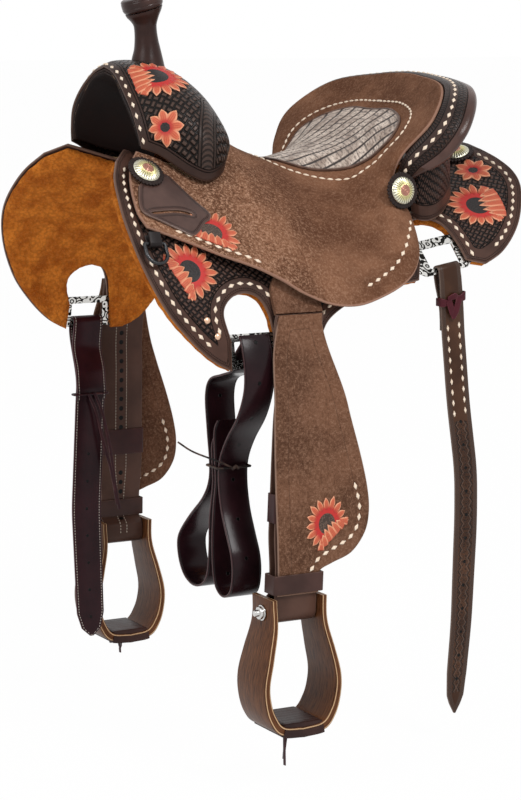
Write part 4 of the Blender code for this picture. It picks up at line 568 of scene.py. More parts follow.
class Finish:
    # the nodes of one material, or of the world
    def __init__(self, name, shelf="materials", shader="Principled BSDF"):
        self.made = getattr(bpy.data, shelf).new(name)
        self.made.use_nodes = True
        self.tree = self.made.node_tree
        self.shader = self.tree.nodes[shader]

    def node(self, kind, settings=None, inputs=None, output=0):
        made = self.tree.nodes.new(kind)
        for key, value in (settings or {}).items():
            setattr(made, key, value)
        for key, value in (inputs or {}).items():
            self.put(made.inputs[key], value)
        return Value(self, made.outputs[output])

    def put(self, socket, value):
        if isinstance(value, Value):
            self.tree.links.new(value.socket, socket)
        else:
            socket.default_value = (*value, 1) if socket.type == "RGBA" else value

    def math(self, operation, a, b=0.0):
        return self.node("ShaderNodeMath", {"operation": operation}, {0: a, 1: b})

    def sine(self, value):
        return self.math("SINE", value)

    def fraction(self, value):
        return self.math("FRACT", value)

    def larger(self, a, b):
        return self.math("MAXIMUM", a, b)

    def between(self, value, low, high, start=0.0, end=1.0):
        # a soft step from start at low to end at high
        return self.node("ShaderNodeMapRange", {"interpolation_type": "SMOOTHSTEP"},
            {"Value": value, "From Min": low, "From Max": high, "To Min": start, "To Max": end})

    def fade(self, value, low, high):
        return self.between(value, low, high, 1.0, 0.0)

    def line(self, value, middle, half):
        # 1 on a line, falling to 0 at half its width away
        return self.fade(abs(value - middle), 0.0, half)

    def flat(self):
        return self.node("ShaderNodeUVMap", {"uv_map": "flat"})

    def axes(self, where):
        # the three parts of a place
        first = self.node("ShaderNodeSeparateXYZ", None, {0: where})
        return [Value(self, out) for out in first.socket.node.outputs]

    def mark(self, name, output=2):
        return self.node("ShaderNodeAttribute", {"attribute_name": name}, None, output)

    def place(self):
        return self.node("ShaderNodeTexCoord", None, None, 3)

    def noise(self, scale, detail=3.0, where=None, rough=.55, stretch=None):
        where = where or self.place()
        if stretch:
            where = self.node("ShaderNodeMapping", None, {0: where, 3: stretch})
        return self.node("ShaderNodeTexNoise", None, {"Vector": where, "Scale": scale, "Detail": detail,
            "Roughness": rough})

    def cells(self, scale):
        return self.node("ShaderNodeTexVoronoi", None, {"Vector": self.place(), "Scale": scale})

    def mix(self, share, a, b):
        return self.node("ShaderNodeMix", {"data_type": "RGBA"}, {0: share, 6: a, 7: b}, 2)

    def coats(self, base, *coats):
        # each coat lies over the last one where its share is 1
        for share, colour in coats:
            base = self.mix(share, base, colour)
        return base

    def clouded(self, clouds, dark, light):
        return self.mix(self.between(clouds, .3, .7), dark, light)

    def bump(self, height, strength, distance):
        return self.node("ShaderNodeBump", None, {"Height": height, "Strength": strength, "Distance":
            distance})

    def done(self, base, rough, normal=None, gloss=.5, metal=0.0):
        settings = {"Base Color": base, "Roughness": rough, "Specular IOR Level": gloss, "Metallic": metal}
        if normal:
            settings["Normal"] = normal
        for key, value in settings.items():
            self.put(self.shader.inputs[key], value)
        return self.made

    def whiteToRays(self, kind, share):
        # plain white for the camera and for what mirrors and glass show: share times the larger of the rays
        rays = self.node("ShaderNodeLightPath")
        seen = rays
        for ray in ("Is Glossy Ray", "Is Transmission Ray"):
            seen = self.larger(seen, Value(self, rays.socket.node.outputs[ray]))
        glow = self.node(kind, None, {0: (1.0, 1.0, 1.0), 1: 1.0})
        mixed = self.node("ShaderNodeMixShader", None, {0: seen * share, 1:
            Value(self, self.shader.outputs[0]), 2: glow})
        output = next(n for n in self.tree.nodes if n.type.startswith("OUTPUT"))
        self.tree.links.new(mixed.socket, output.inputs[0])


def suede(name, colour, light, dark):
    # rough-out leather: clouded brown with a fine raised nap and pale scuffs
    f = Finish(name)
    clouds, nap, fine = f.noise(9, 4), f.noise(210, 4, rough=.7), f.noise(1100, 2)
    drift = f.noise(46, 3, stretch=(1, 1, .35))
    base = f.coats(dark, (f.between(clouds, .36, .66), colour), (f.fade(nap, .3, .46) * .6,
        tuple(c * .4 for c in dark)), (f.between(nap * .55 + fine * .45, .48, .62) * .75, light),
        (f.between(drift, .52, .74) * .3, light))
    return f.done(base, .95, f.bump(nap * .7 + fine * .5, .55, .0012), .18)


def plainLeather(name, colour, dark, rough=.42, grain=.25, wear=(.19, .11, .08)):
    # smooth strap leather: faint clouds, pores, paler rubbed edges
    f = Finish(name)
    clouds = f.noise(14, 4)
    rub = f.fade(f.mark("edge"), .0002, .0013) * f.between(f.noise(60, 3), .35, .7)
    base = f.mix(rub * .55, f.clouded(clouds, dark, colour), wear)
    normal = f.bump(f.cells(900) * .5 + f.noise(420, 3) * .6, grain, .0006)
    return f.done(base, f.between(clouds, .2, .8, rough - .06, rough + .1), normal, .16)


def basket(f, flatU, flatV, cell):
    # woven stamp: rounded bars that change direction from cell to cell; returns its height
    a, b = (flatU + flatV) / cell, (flatU - flatV) / cell
    turnOver = f.fraction((f.math("FLOOR", a) + f.math("FLOOR", b)) * .5) > .25
    ca, cb = f.fraction(a) - .5, f.fraction(b) - .5
    across = ca * turnOver + cb * (1 - turnOver)
    along = cb * turnOver + ca * (1 - turnOver)
    return f.fade(abs(across), .14, .4) * f.between(abs(along), .34, .5, 1.0, .1)


def tooledLeather(spec):
    # carved leather: plain border with a beaded line and double groove, basket stamp inside
    f = Finish("tooled skirt")
    u, v, _ = f.axes(f.flat())
    edge, along = f.mark("edge"), f.mark("along")
    weave = basket(f, u, v, spec["cell"])
    field = f.between(edge, spec["border"] - .0003, spec["border"] + .0003)
    groove = f.larger(f.line(edge, spec["border"], .0009), f.line(edge, spec["border"] + .0032, .0008))
    rim = f.line(edge, .0035, .0006)
    beads = f.line(edge, spec["beads"], .0011) * f.between(f.sine(along * (6.2832 / .0028)), -.3, .3)
    height = field * weave * .85 - groove * .8 - rim * .4 - beads * .7 + f.noise(500, 3) * .1
    inner = f.mix(weave, spec["deep"], spec["high"])
    base = f.coats(f.clouded(f.noise(16, 4), spec["borderDark"], spec["borderColour"]), (field, inner),
        (f.larger(f.larger(groove, rim * .7), beads) * .85, spec["deep"]),
        (f.fade(edge, .0003, .0016) * .6, spec["rub"]))
    return f.done(base, .36, f.bump(height, 1.0, spec["depth"]), .14)


leatherTones = {"cell": .0112, "border": .0215, "beads": .0062, "depth": .0028, "deep": (.0042, .0026, .0024),
    "high": (.078, .043, .033), "borderColour": (.074, .036, .026), "borderDark": (.036, .017, .012), "rub":
    (.22, .13, .095)}


def fleeceWool():
    f = Finish("fleece wool")
    clumps, locks, fibres = f.noise(38, 4), f.cells(190), f.noise(760, 4, rough=.75)
    # the darker coat where the locks part, in the hollows of the bump, is painted shade between the locks
    base = f.coats(f.clouded(clumps, (.42, .092, .006), (.76, .23, .026)),
        (f.between(fibres, .45, .75) * .5, (.82, .42, .12)), (f.between(locks, .35, .75) * .35,
        (.25, .06, .008)))
    return f.done(base, 1.0, f.bump(fibres * .7 + clumps * .8 - locks * .8, 1.0, .0035), .1)


def paintedPetals(name, heart):
    # along a petal u runs from its root to its tip, across it v from edge to edge
    # the red ring has u = -1 and the heart u = -3
    f = Finish(name)
    u, v, _ = f.axes(f.flat())
    grain, stipple, beside = f.noise(700, 3), f.cells(520), abs(v)
    veins = f.larger(f.fade(beside, 0.0, .13), f.line(beside, .38, .1)) * f.between(u, .8, .55, 0.0, .65)
    rim = f.larger(f.between(beside, .46, .74) * f.between(u, .1, .6), f.between(u, .72, .94))
    middle = f.mix(f.between(stipple, .2, .6), *(tuple(c * k for c in heart) for k in (1.7, .55)))
    base = f.coats((.46, .026, .022), (f.between(u, .02, .42), (.58, .128, .06)), (veins, (.36, .04, .022)),
        (rim * .85, (.78, .37, .21)), (f.between(beside, .86, .97) * f.between(u, .25, .45) * .9,
        (.1, .018, .012)), (f.line(u, .83, .07) * f.line(v, 0.0, .4) * .8, (.24, .045, .028)),
        (u < -.5, (.5, .026, .022)), (u < -2.0, middle), (f.between(grain, .4, .75) * .22, (.1, .03, .02)))
    height = grain * .2 + (u < -2.0) * stipple * .6 - veins * .5
    return f.done(base, .5, f.bump(height, .6, .0007), .3)


def rawhide():
    f = Finish("cream buckstitch")
    clouds = f.noise(420, 3)
    base = f.mix(f.between(clouds, .3, .75), (.78, .6, .44), (.93, .82, .68))
    return f.done(base, .6, f.bump(clouds, .3, .0004))


def walnutLayers():
    # bent laminate: dark walnut plies with pale maple ones between, grain along the bow
    f = Finish("laminated walnut")
    u, v, _ = f.axes(f.flat())
    layer = f.mark("layer")
    along = f.node("ShaderNodeCombineXYZ", None, {0: u * 6.0, 1: v * 60.0, 2: layer * 2.0})
    grain = f.noise(9, 5, where=along, rough=.6)
    pale = f.larger(f.line(layer, .16, .1), f.line(layer, .84, .1))
    base = f.coats(f.clouded(grain, (.034, .01, .003), (.15, .055, .02)),
        (f.between(f.noise(3, 3, where=along), .45, .7) * .4, (.19, .075, .03)),
        (pale, f.mix(grain, (.5, .3, .15), (.78, .55, .33))))
    return f.done(base, .38, f.bump(grain, .12, .0006), .13)


def rawWood():
    f = Finish("tree wood")
    grain = f.noise(12, 5, stretch=(.6, 6, 6))
    return f.done(f.mix(grain, (.3, .16, .07), (.6, .4, .22)), .7, f.bump(grain, .3, .001))


def engravedSteel():
    # scroll engraving on polished steel, dark in the cuts
    f = Finish("engraved steel")
    cuts = f.between(f.sine(f.cells(95) * 15 + f.noise(70, 2) * 8), .15, .5)
    base = f.mix(cuts, (.66, .65, .62), (.012, .011, .01))
    return f.done(base, f.between(cuts, 0.0, 1.0, .22, .6), f.bump(1 - cuts, .5, .0007), metal=1.0)


def brightMetal(name, colour, rough):
    f = Finish(name)
    marks = f.noise(300, 3)
    base = f.mix(f.between(marks, .3, .8) * .35, colour, tuple(c * .6 for c in colour))
    return f.done(base, f.between(marks, .2, .8, rough * .8, rough * 1.4), f.bump(marks, .06, .0004),
        metal=1.0)


def silverBurst():
    # the concho's silver, its gilt ring and copper middle come with the mesh
    f = Finish("concho silver")
    marks = f.noise(900, 2)
    return f.done(f.mark("tint", 0), f.between(marks, .2, .8, .22, .4), f.bump(marks, .1, .0003), metal=.85)


def holedLeather(name, spec):
    # a strap with its row of punched holes and its lines of thread, drawn along its length
    f = Finish(name)
    u, v, _ = f.axes(f.flat())
    edge, clouds = f.mark("edge"), f.noise(14, 4)
    base, height = f.clouded(clouds, spec["dark"], spec["colour"]), f.noise(480, 3) * .15
    if "thread" in spec:
        thread = spec["thread"]
        row = f.line(edge, thread["inset"], .0009) * (u > thread.get("from", -1.0))
        dash = f.between(f.sine(u * (6.2832 / thread["pitch"])), -.35, .1)
        height = height - row * (1 - dash) * .7
        base = f.mix(row * dash * .9, base, thread["colour"])
    if "edging" in spec:
        inset, colour = spec["edging"]
        base = f.mix(f.between(edge, inset - .001, inset, .85, 0.0), base, colour)
    if "scallops" in spec:
        start, end, pitch = spec["scallops"]
        inRun = (u > start) * (u < end)
        wave = edge - abs(f.fraction(u / pitch) - .5) * .008
        arc = f.line(wave, .0085, .0016) * inRun
        spray = f.between(f.noise(330, 2), .5, .6) * f.between(edge, .007, .009) * inRun
        height = height - arc * .9 - spray * .5
        # the dark arcs and spray are painted shade in the stamped cuts, and the pale line just outside each
        # arc is a painted highlight beside the cut
        base = f.coats(base, (f.larger(arc, spray * .8) * .85, (.008, .005, .004)),
            (f.line(wave, .0108, .0012) * inRun * .35, (.2, .14, .11)))
    if "crease" in spec:
        crease = f.line(edge, spec["crease"], .0007)
        height = height - crease * .8
        base = f.mix(crease * .7, base, (.006, .003, .003))
    for start, end, pitch, radius in spec["holes"]:
        at = (f.fraction((u - start) / pitch + .5) - .5) * pitch
        gap = f.math("SQRT", at * at + v * v)
        # the near-black disc of each hole is painted shade in place of an open hole
        hole = f.fade(gap, radius * .85, radius * 1.1) * (u > start - pitch / 2) * (u < end + pitch / 2)
        base = f.mix(hole, base, (.002, .0015, .0015))
        height = height - hole * 1.5
    base = f.mix(f.fade(edge, .0002, .0012) * .5, base, spec["rub"])
    return f.done(base, spec["rough"], f.bump(height, .8, .001), .16)


finishes = {"skirt": tooledLeather(leatherTones), "fleece": fleeceWool(), "cream": rawhide(), "walnut":
    walnutLayers(), "wood": rawWood(), "engraved": engravedSteel(), "silver": silverBurst(), "suedeFender":
    suede("rough-out fender", (.15, .068, .038), (.28, .155, .1), (.086, .038, .021)), "petals":
    paintedPetals("painted petals", (.012, .011, .011)), "petalsSuede":
    paintedPetals("painted petals on suede", (.08, .052, .038)), "steel":
    brightMetal("polished steel", (.66, .65, .63), .18), "blackMetal":
    brightMetal("blackened steel", (.05, .05, .052), .25), "copper":
    brightMetal("copper rivets", (.8, .52, .36), .25),}
# smooth leathers: colour, darker clouds, roughness, grain and the tone of worn edges
smoothLeathers = {"horn": ("horn leather", (.052, .023, .018), (.024, .011, .009), .3, .15), "gullet":
    ("gullet leather", (.011, .0042, .0032), (.005, .002, .0016), .6, .4, (.04, .02, .014)), "binding":
    ("binding leather", (.085, .042, .028), (.045, .022, .015), .34, .2), "strapBrown":
    ("brown strap leather", (.09, .045, .034), (.05, .026, .02), .42, .3), "burgundy":
    ("burgundy leather", (.04, .011, .014), (.018, .005, .008), .3, .15, (.13, .05, .05)), "rosette":
    ("rosette leather", (.026, .015, .013), (.012, .008, .007), .45, .5), "blackStrap":
    ("black strap leather", (.014, .01, .01), (.007, .006, .006), .32, .2, (.07, .05, .045)), "sleeve":
    ("sleeve leather", (.066, .024, .022), (.034, .012, .012), .34, .2, (.16, .08, .06)), "hobble":
    ("hobble leather", (.07, .034, .028), (.038, .018, .015), .34, .2, (.17, .1, .08)), "tread":
    ("tread leather", (.048, .021, .017), (.022, .01, .009), .36, .5, (.13, .07, .055)), "tie":
    ("tie cord", (.012, .009, .009), (.006, .005, .005), .5, .4), "lace":
    ("burgundy lace", (.085, .01, .018), (.04, .006, .01), .3, .2, (.2, .05, .06)),}
for key, spec in smoothLeathers.items():
    finishes[key] = plainLeather(*spec)


print("stage: materials made")


# Skirts and fleece

skirt = {"leather": .005, "fleece": .013, "gap": .0004, "cell": .0048, "fleeceCell": .0062, "woolOut": -.0015,
    "top": cmRows((32.6, .06), (27, .06), (20, 3.0), (8, 5.0), (-6, 5.4), (-16, 7.0), (-23, 8.6),
    (-26.4, 9.4)), "front": cmRows((-28.9, 5.3), (-30.4, 3.2), (-31.2, .8), (-31.6, -2.2), (-31.3, -5.4),
    (-30.4, -8.8), (-29, -12.2), (-27.2, -15.3), (-24.8, -18.2), (-22, -20.8), (-19.2, -22.5)), "notch":
    cmRows((-18.9, -18.5), (-19.6, -14.8), (-18.3, -12.9), (-16.1, -12.2), (-14.1, -12.9), (-12.9, -15),
    (-12.3, -18.6), (-11.9, -22.5)), "belly": cmRows((-9.8, -22.4), (-7.2, -21.1), (-5.2, -18.9),
    (-3.4, -16.4), (0, -14.5), (5.4, -12.8), (12.2, -11.9)), "rearNotch":
    cmRows((13.2, -9.6), (13.1, -6.6), (14.6, -4.5), (17.2, -3.8), (19.4, -4.6), (20.3, -7.2), (20.8, -9.5)),
    "rear": cmRows((24, -10.2), (26.9, -8.9), (29.4, -7), (31.6, -4.6), (33.4, -1.9), (34.7, .6), (34.9, 2.4),
    (34.2, 4), (33.3, 5.3))}
flatScale = np.array([1, .045])


def onSkirt(points, axes, count):
    found = skirtFace.nearest(points, axes)
    return smooth(found * flatScale, count) / flatScale


def buildSkirts(s):
    lines = (("top", plan, 90), ("front", sideView, 90), ("notch", sideView, 70), ("belly", sideView, 70),
        ("rearNotch", sideView, 60), ("rear", sideView, 70))
    parts = [onSkirt(s[key], axes, count) for key, axes, count in lines]
    ring, top = np.vstack(parts), -(s["leather"] + s["gap"])
    for tag, side in sides:
        cutSheet("skirtLeather_" + tag, skirtFace, [ring], s["cell"], flatScale, (0, -s["leather"]), side,
            "skirt", node="skirt_" + tag)
        made = cutSheet("fleeceLining_" + tag, skirtFace, [ring], s["fleeceCell"], flatScale,
            (top, top - s["fleece"]), side, "fleece", bevel=.004, node="fleece_" + tag)
        fluffUp(made, s["woolOut"])
    return parts


def fluffUp(made, reach):
    # the wool is trimmed back under the leather's edge and stands in uneven locks
    mesh = made.data
    count = len(mesh.vertices)
    points, normals, edge = np.empty(count * 3), np.empty(count * 3), np.empty(count, np.float32)
    mesh.vertices.foreach_get("co", points)
    mesh.vertex_normals.foreach_get("vector", normals)
    mesh.attributes["edge"].data.foreach_get("value", edge)
    points, normals = points.reshape(-1, 3), normals.reshape(-1, 3)
    wave = (np.sin(points @ (310, 170, 260)) + np.sin(points @ (-230, 390, 140) + 1.7)
        + np.sin(points @ (520, -240, 610) + .6)) / 3
    out = reach * (1 - ease(edge / .006)) * (.75 + .5 * wave) + .001 * wave * ease(edge / .004)
    mesh.vertices.foreach_set("co", (points + normals * out[:, None]).ravel())
    mesh.update()


skirtParts = buildSkirts(skirt)
print("stage: skirts and fleece")


def edged(first, last, step, lip):
    # evenly spaced values with a narrow first and last step for a rounded edge
    middle = np.linspace(first + lip, last - lip, max(2, int(round((last - first) / step))))
    return np.concatenate([[first], middle, [last]])


def metric(face, u, v):
    # flat coordinates of a face's positions: the lengths walked along u and along v to get there
    steps = 24
    shares = (np.arange(steps) + .5) / steps
    u0, v0 = face.limits[0][0], face.limits[1][0]
    alongU = face.slopes((u0 + (u[:, None] - u0) * shares).ravel(), np.repeat(v, steps))[0]
    alongV = face.slopes(np.repeat(u, steps), (v0 + (v[:, None] - v0) * shares).ravel())[1]
    mean = [np.linalg.norm(a, axis=1).reshape(-1, steps).mean(1) for a in (alongU, alongV)]
    return np.column_stack([mean[0] * (u - u0), mean[1] * (v - v0)])


def rounded(gap, thickness, bevel=.0013):
    return thickness * .32 * (1 - ease(gap / bevel))


def archSheet(name, face, rows, columns, thickness, finish, node, extraMarks=None):
    # a leather over the centre line, from the near foot to the far one
    u, v = (g.ravel() for g in np.meshgrid(rows, np.concatenate([-columns[:0:-1], columns]), indexing="ij"))
    far, wide = np.where(v < 0, -1.0, 1.0), np.abs(v)
    ends = [(rows[0], c) for c in columns] + [(r, columns[-1]) for r in rows] + [(rows[-1], c)
        for c in columns[::-1]]
    gap = lineDistance(face.at(u, wide), face.at(*np.array(ends).T))[0]
    lip = rounded(gap, thickness)
    flat = metric(face, u, wide) * np.column_stack([np.ones(len(u)), far])
    both = [face.at(u, wide, lift) for lift in (-lip, lip - thickness)]
    both = [np.column_stack([p[:, 0], p[:, 1] * far, p[:, 2]]) for p in both]
    points, faces = closeSheet(*both, gridFaces(len(rows), 2 * len(columns) - 1))
    marks = {"edge": np.tile(gap, 2)}
    for key, values in (extraMarks(both[0]) if extraMarks else {}).items():
        marks[key] = np.tile(values, 2)
    return addMesh(name, points, faces, finish, node, uv=np.vstack([flat, flat + (0, 3)]), marks=marks)


# Skirt ornament

stitch = {"size": (.0106, .0056, .0015), "lift": .0002, "point": 1.05, "pitch": .0152}
skirtStitch = dict(stitch, inset=.0138, centre=(-.1, 3.0), runs={"front": (1, .03, .93), "notch":
    (2, .1, .62), "belly": (3, .55, 1.0), "rearNotch": (4, .08, .96), "rear": (5, .06, .97)})


def skirtEdges(s, parts):
    centre = skirtFace.at(*s["centre"])[0]
    u, v = smooth(parts[1], 60).T
    points = skirtFace.at(u, v)
    sign = np.sign((np.cross(skirtFace.normal(u, v), headings(points)) * (centre - points)).sum())
    for run, (part, first, last) in s["runs"].items():
        line = insetPath(skirtFace, parts[part], s["inset"], first, last, sign)
        for tag, side in sides:
            stitchRow(f"skirtStitches_{run}_{tag}", spacedPath(skirtFace, line, s["pitch"], side), s)


skirtEdges(skirtStitch, skirtParts)
print("stage: skirt stitching")


# Flowers: carved and painted petals laid on the face around a heart, some folded over it from one side

petalRows = np.array([0, .14, .32, .52, .7, .84, .94, 1.0])
petalColumns = np.array([-1, -.8, -.42, 0, .42, .8, 1])
ringWidths = np.array([.5, .72, .92, 1.0, .8, .47, .2, .02])
fanWidths = np.array([.86, .96, 1.0, .92, .7, .42, .2, .02])


def petals(roots, tips, half, widths):
    # grids from each root to its tip: flat points, how far along and across each lies, and a domed height
    t, q = (g.ravel() for g in np.meshgrid(petalRows, petalColumns, indexing="ij"))
    ahead = tips - roots
    beside = unit(np.column_stack([-ahead[:, 1], ahead[:, 0]]))
    wide = half * np.interp(t, petalRows, widths) * q
    flat = roots[:, None] + ahead[:, None] * t[None, :, None] + beside[:, None] * wide[None, :, None]
    dome = (.25 + .75 * (1 - np.abs(q) ** 2.5)) * (.35 + .65 * ease(t / .25)) * (1 - .85
        * ease((t - .85) / .15))
    return flat, np.column_stack([t, q]), dome


def bloom(name, face, middle, side, spec, **more):
    # a disc with the heart and the red ring, the petals round it, and the fan whose tips lie on the heart
    along, across = (a[0] for a in face.slopes(*np.array(middle)[:, None]))
    a = unit(along)
    b = unit(across - a * (across @ a))
    grid = np.array([[along @ a, across @ a], [along @ b, across @ b]])
    radius, eye, chord, fold, tall = (spec[k] for k in ("radius", "eye", "chord", "fold", "height"))
    foldWay = np.array([math.cos(fold), math.sin(fold)])
    sideWay = np.array([-foldWay[1], foldWay[0]])
    blocks = []

    def add(flat, uv, crest, faces):
        # each block of points becomes a closed shell, its foot a little inside the leather
        count, size = flat.shape[:2]
        step = np.linalg.solve(grid, (flat.reshape(-1, 2) * (radius * spec.get("stretch", 1.0), radius)).T)
        u, v = (np.clip(m + d, *ends) for m, d, ends in zip(middle, step, face.limits))
        top, foot = (mirror(face.at(u, v, lift), side).reshape(count, size, 3)
            for lift in (crest.ravel(), -.0006))
        one = closeSheet(top[0], foot[0], faces)[1]
        start = sum(len(p) for p, _, _ in blocks)
        blocks.append((np.concatenate([top, foot], axis=1).reshape(-1, 3), np.tile(uv, (2 * count, 1)),
            [[k + start + 2 * size * n for k in f] for n in range(count) for f in one]))

    turns, share = np.linspace(0, 2 * math.pi, 49)[:-1], np.linspace(.02, 1, 15)
    s, theta = (g.ravel() for g in np.meshgrid(share, turns, indexing="ij"))
    rim = spec["root"] * 1.25
    disc = np.column_stack([np.cos(theta), np.sin(theta)]) * (s * rim)[:, None]
    disc -= np.maximum(disc @ foldWay - chord * .98, 0)[:, None] * foldWay
    heart = s * rim < eye
    crest = tall * np.where(heart, .3, .45) * (1 - ease((s - .94) / .06)) + .0001
    add(disc[None], np.column_stack([np.where(heart, -3.0, -1.0), 0 * s]), crest,
        gridFaces(15, 48, closed=True))

    angles = fold + spec.get("turn", 0.0) + 2 * math.pi * (np.arange(spec["ring"]) + .5) / spec["ring"]
    lean = np.abs((angles - fold + math.pi) % (2 * math.pi) - math.pi)
    angles = angles[lean > (.86 if spec["fan"] else -1)]
    outward = np.column_stack([np.cos(angles), np.sin(angles)])
    reach = 1 + .05 * np.sin(angles * 5 + 1)
    flat, uv, dome = petals(outward * spec["root"], outward * reach[:, None], spec["half"], ringWidths)
    layer = .0002 * (np.arange(len(angles)) % 2)
    faces = gridFaces(len(petalRows), len(petalColumns))
    add(flat, uv, tall * dome + layer[:, None] + .0002, faces)
    if spec["fan"]:
        spread = np.linspace(-1, 1, spec["fan"])[:, None]
        deep = np.minimum(chord, .97 * np.sqrt(1 - (.8 * spread) ** 2))
        reach = .04 + .55 * min(chord, .75) * spread ** 2
        tips = reach * foldWay + (.6 * spread + .03 * np.sin(spread * 9)) * sideWay
        flat, uv, dome = petals(deep * foldWay + .8 * spread * sideWay, tips, spec["half"] * 1.12, fanWidths)
        layer = .0004 + .00025 * (np.arange(spec["fan"]) % 2)
        add(flat, uv * (.75, 1) + (.25, 0), tall * dome + layer[:, None], faces)
    points, uv = (np.vstack([block[k] for block in blocks]) for k in (0, 1))
    faces = [f for block in blocks for f in block[2]]
    return addMesh(name, points, faces, spec.get("finish", "petals"), uv=uv, sharp=70, **more)


bigBloom = {"radius": .046, "ring": 16, "fan": 7, "eye": .4, "root": .5, "half": .14, "chord": .85, "fold":
    0.0, "height": .0017}
smallBloom = {"radius": .027, "ring": 8, "fan": 0, "eye": .27, "root": .24, "half": .27, "chord": 2.0, "fold":
    0.0, "height": .0014}
skirtBlooms = {"skirtFront": ((-.2375, 5.82), dict(bigBloom, radius=.0415, fold=2.49, chord=.56)),
    "skirtRear": ((.265, 3.797), dict(bigBloom, radius=.0455, fold=.28)), "skirtRearSmall":
    ((.297, 2.222), dict(smallBloom, radius=.029)),}
for spotName, (middle, spec) in skirtBlooms.items():
    for tag, side in sides:
        bloom(f"bloom_{spotName}_{tag}", skirtFace, middle, side, spec)
print("stage: blooms on the skirts")


# Seat leather with its jockeys

seat = {"leather": .005, "step": .1, "splitRow": 5.0}


def buildSeat(s):
    split, step = s["splitRow"], s["step"]
    rows = np.unique(np.concatenate([edged(0, split, step, .03), edged(split, 13, step, .03)]))
    columns = edged(0, 6, step, .03)
    u, v = (g.ravel() for g in np.meshgrid(rows, columns, indexing="ij"))
    edge = ([(r, 0) for r in np.linspace(split, 0, 40)] + [(0, c) for c in np.linspace(0, 6, 50)]
        + [(r, 6) for r in np.linspace(0, 13, 160)] + [(13, c) for c in np.linspace(6, 0, 60)])
    gap = lineDistance(seatFace.at(u, v), seatFace.at(*np.array(edge).T))[0]
    lip, flat = rounded(gap, s["leather"]), metric(seatFace, u, v)
    onCentre = (v == 0) & (u >= split - 1e-9)
    skins = [[], []]
    for side in (-1, 1):
        for kept, lift in zip(skins, (-lip, lip - s["leather"])):
            laid = seatFace.at(u, v, lift)
            laid[onCentre, 1] = 0
            kept.append(mirror(laid, side))
    outer, inner = (np.vstack(k) for k in skins)
    half, centre = len(u), np.flatnonzero(onCentre)
    shared = np.arange(2 * half)
    shared[centre] = centre + half
    one = gridFaces(len(rows), len(columns))
    used, faces = np.unique(shared[np.vstack([one[:, ::-1], one + half])], return_inverse=True)
    points, faces = closeSheet(outer[used], inner[used], faces.reshape(-1, 4))
    flat = np.vstack([flat * (1, -1), flat])[used]
    return addMesh("seatLeather", points, faces, "seat", "seat_cover", uv=np.vstack([flat, flat + (0, 3)]),
        marks={"edge": np.tile(np.tile(gap, 2)[used], 2)})


def seatSuede():
    # rough-out seat: open coarse nap towards the front, tighter in the dish, a pale bevelled edge; the nap's
    # flecks fade from the front into the dish, painted light on the front of the seat and painted shade in
    # the dish
    f = Finish("seat suede")
    clouds, nap, fine = f.noise(11, 5), f.noise(240, 5, rough=.75), f.noise(1300, 2)
    fibres = f.noise(420, 4, rough=.8, stretch=(1, 1, .5))
    # front is 1 at the front of the seat and .25 at the back: it carries the painted light and shade through
    # the nap's flecks
    front = f.between(f.axes(f.place())[0], -.16, .03, 1.0, .25)
    base = f.coats((.105, .042, .021), (f.between(clouds, .34, .66), (.225, .104, .057)),
        (f.between(nap * .5 + fibres * .5, .48, .6) * front, (.46, .27, .175)),
        (f.fade(nap, .34, .48) * .8 * front, (.05, .019, .009)), (f.fade(f.mark("edge"), .001, .0024),
        (.3, .165, .115)))
    return f.done(base, .95, f.bump(nap * .7 + fibres * .6 + fine * .2, .7, .0014), .15)


finishes["seat"] = seatSuede()
buildSeat(seat)

seatStitch = dict(stitch, front=((.9, 5.58), (1.45, 5.55), (2.1, 5.53), (2.75, 5.56), (3.15, 5.62)),
    rear=((7.75, 5.68), (8.6, 5.62), (9.4, 5.6), (10.1, 5.6), (10.8, 5.62), (11.3, 5.66), (11.8, 5.7)))
for tag, side in sides:
    for run in ("front", "rear"):
        stitchRow(f"seatStitches_{run}_{tag}", spacedPath(seatFace, seatStitch[run], seatStitch["pitch"],
            side), seatStitch)
    bloom("bloom_jockey_" + tag, seatFace, (1.99, 4.64), side, dict(bigBloom, radius=.0405, fold=1.52,
        chord=.5, finish="petalsSuede"))
print("stage: seat")


# Inlay: a padded oval of embossed leather, a bound edge and a stitched line round it

inlay = {"standoff": .0017, "crown": (.002, .006), "cell": .0019, "scale": (.042, .044), "row": .0225,
    "plate": .0085, "outline": ((7.25, 0), (7.4, .9), (7.9, 1.6), (8.8, 2.2), (9.8, 2.7), (10.6, 2.95),
    (11.3, 2.85), (11.65, 2.2), (11.7, 1.3), (11.6, .6), (11.55, 0)), "stitched":
    ((6.55, 0), (6.75, .9), (7.2, 1.55), (8.0, 2.2), (8.95, 2.82), (9.9, 3.1), (10.8, 3.35), (11.6, 3.2),
    (12.0, 2.45), (12.05, 1.5), (11.95, .7), (11.92, 0))}


def bothHalves(flat, lift):
    points = seatFace.at(flat[:, 0], np.abs(flat[:, 1]), lift)
    points[:, 1] *= np.where(flat[:, 1] < 0, -1, 1)
    points[np.abs(flat[:, 1]) < 1e-6, 1] = 0
    return points


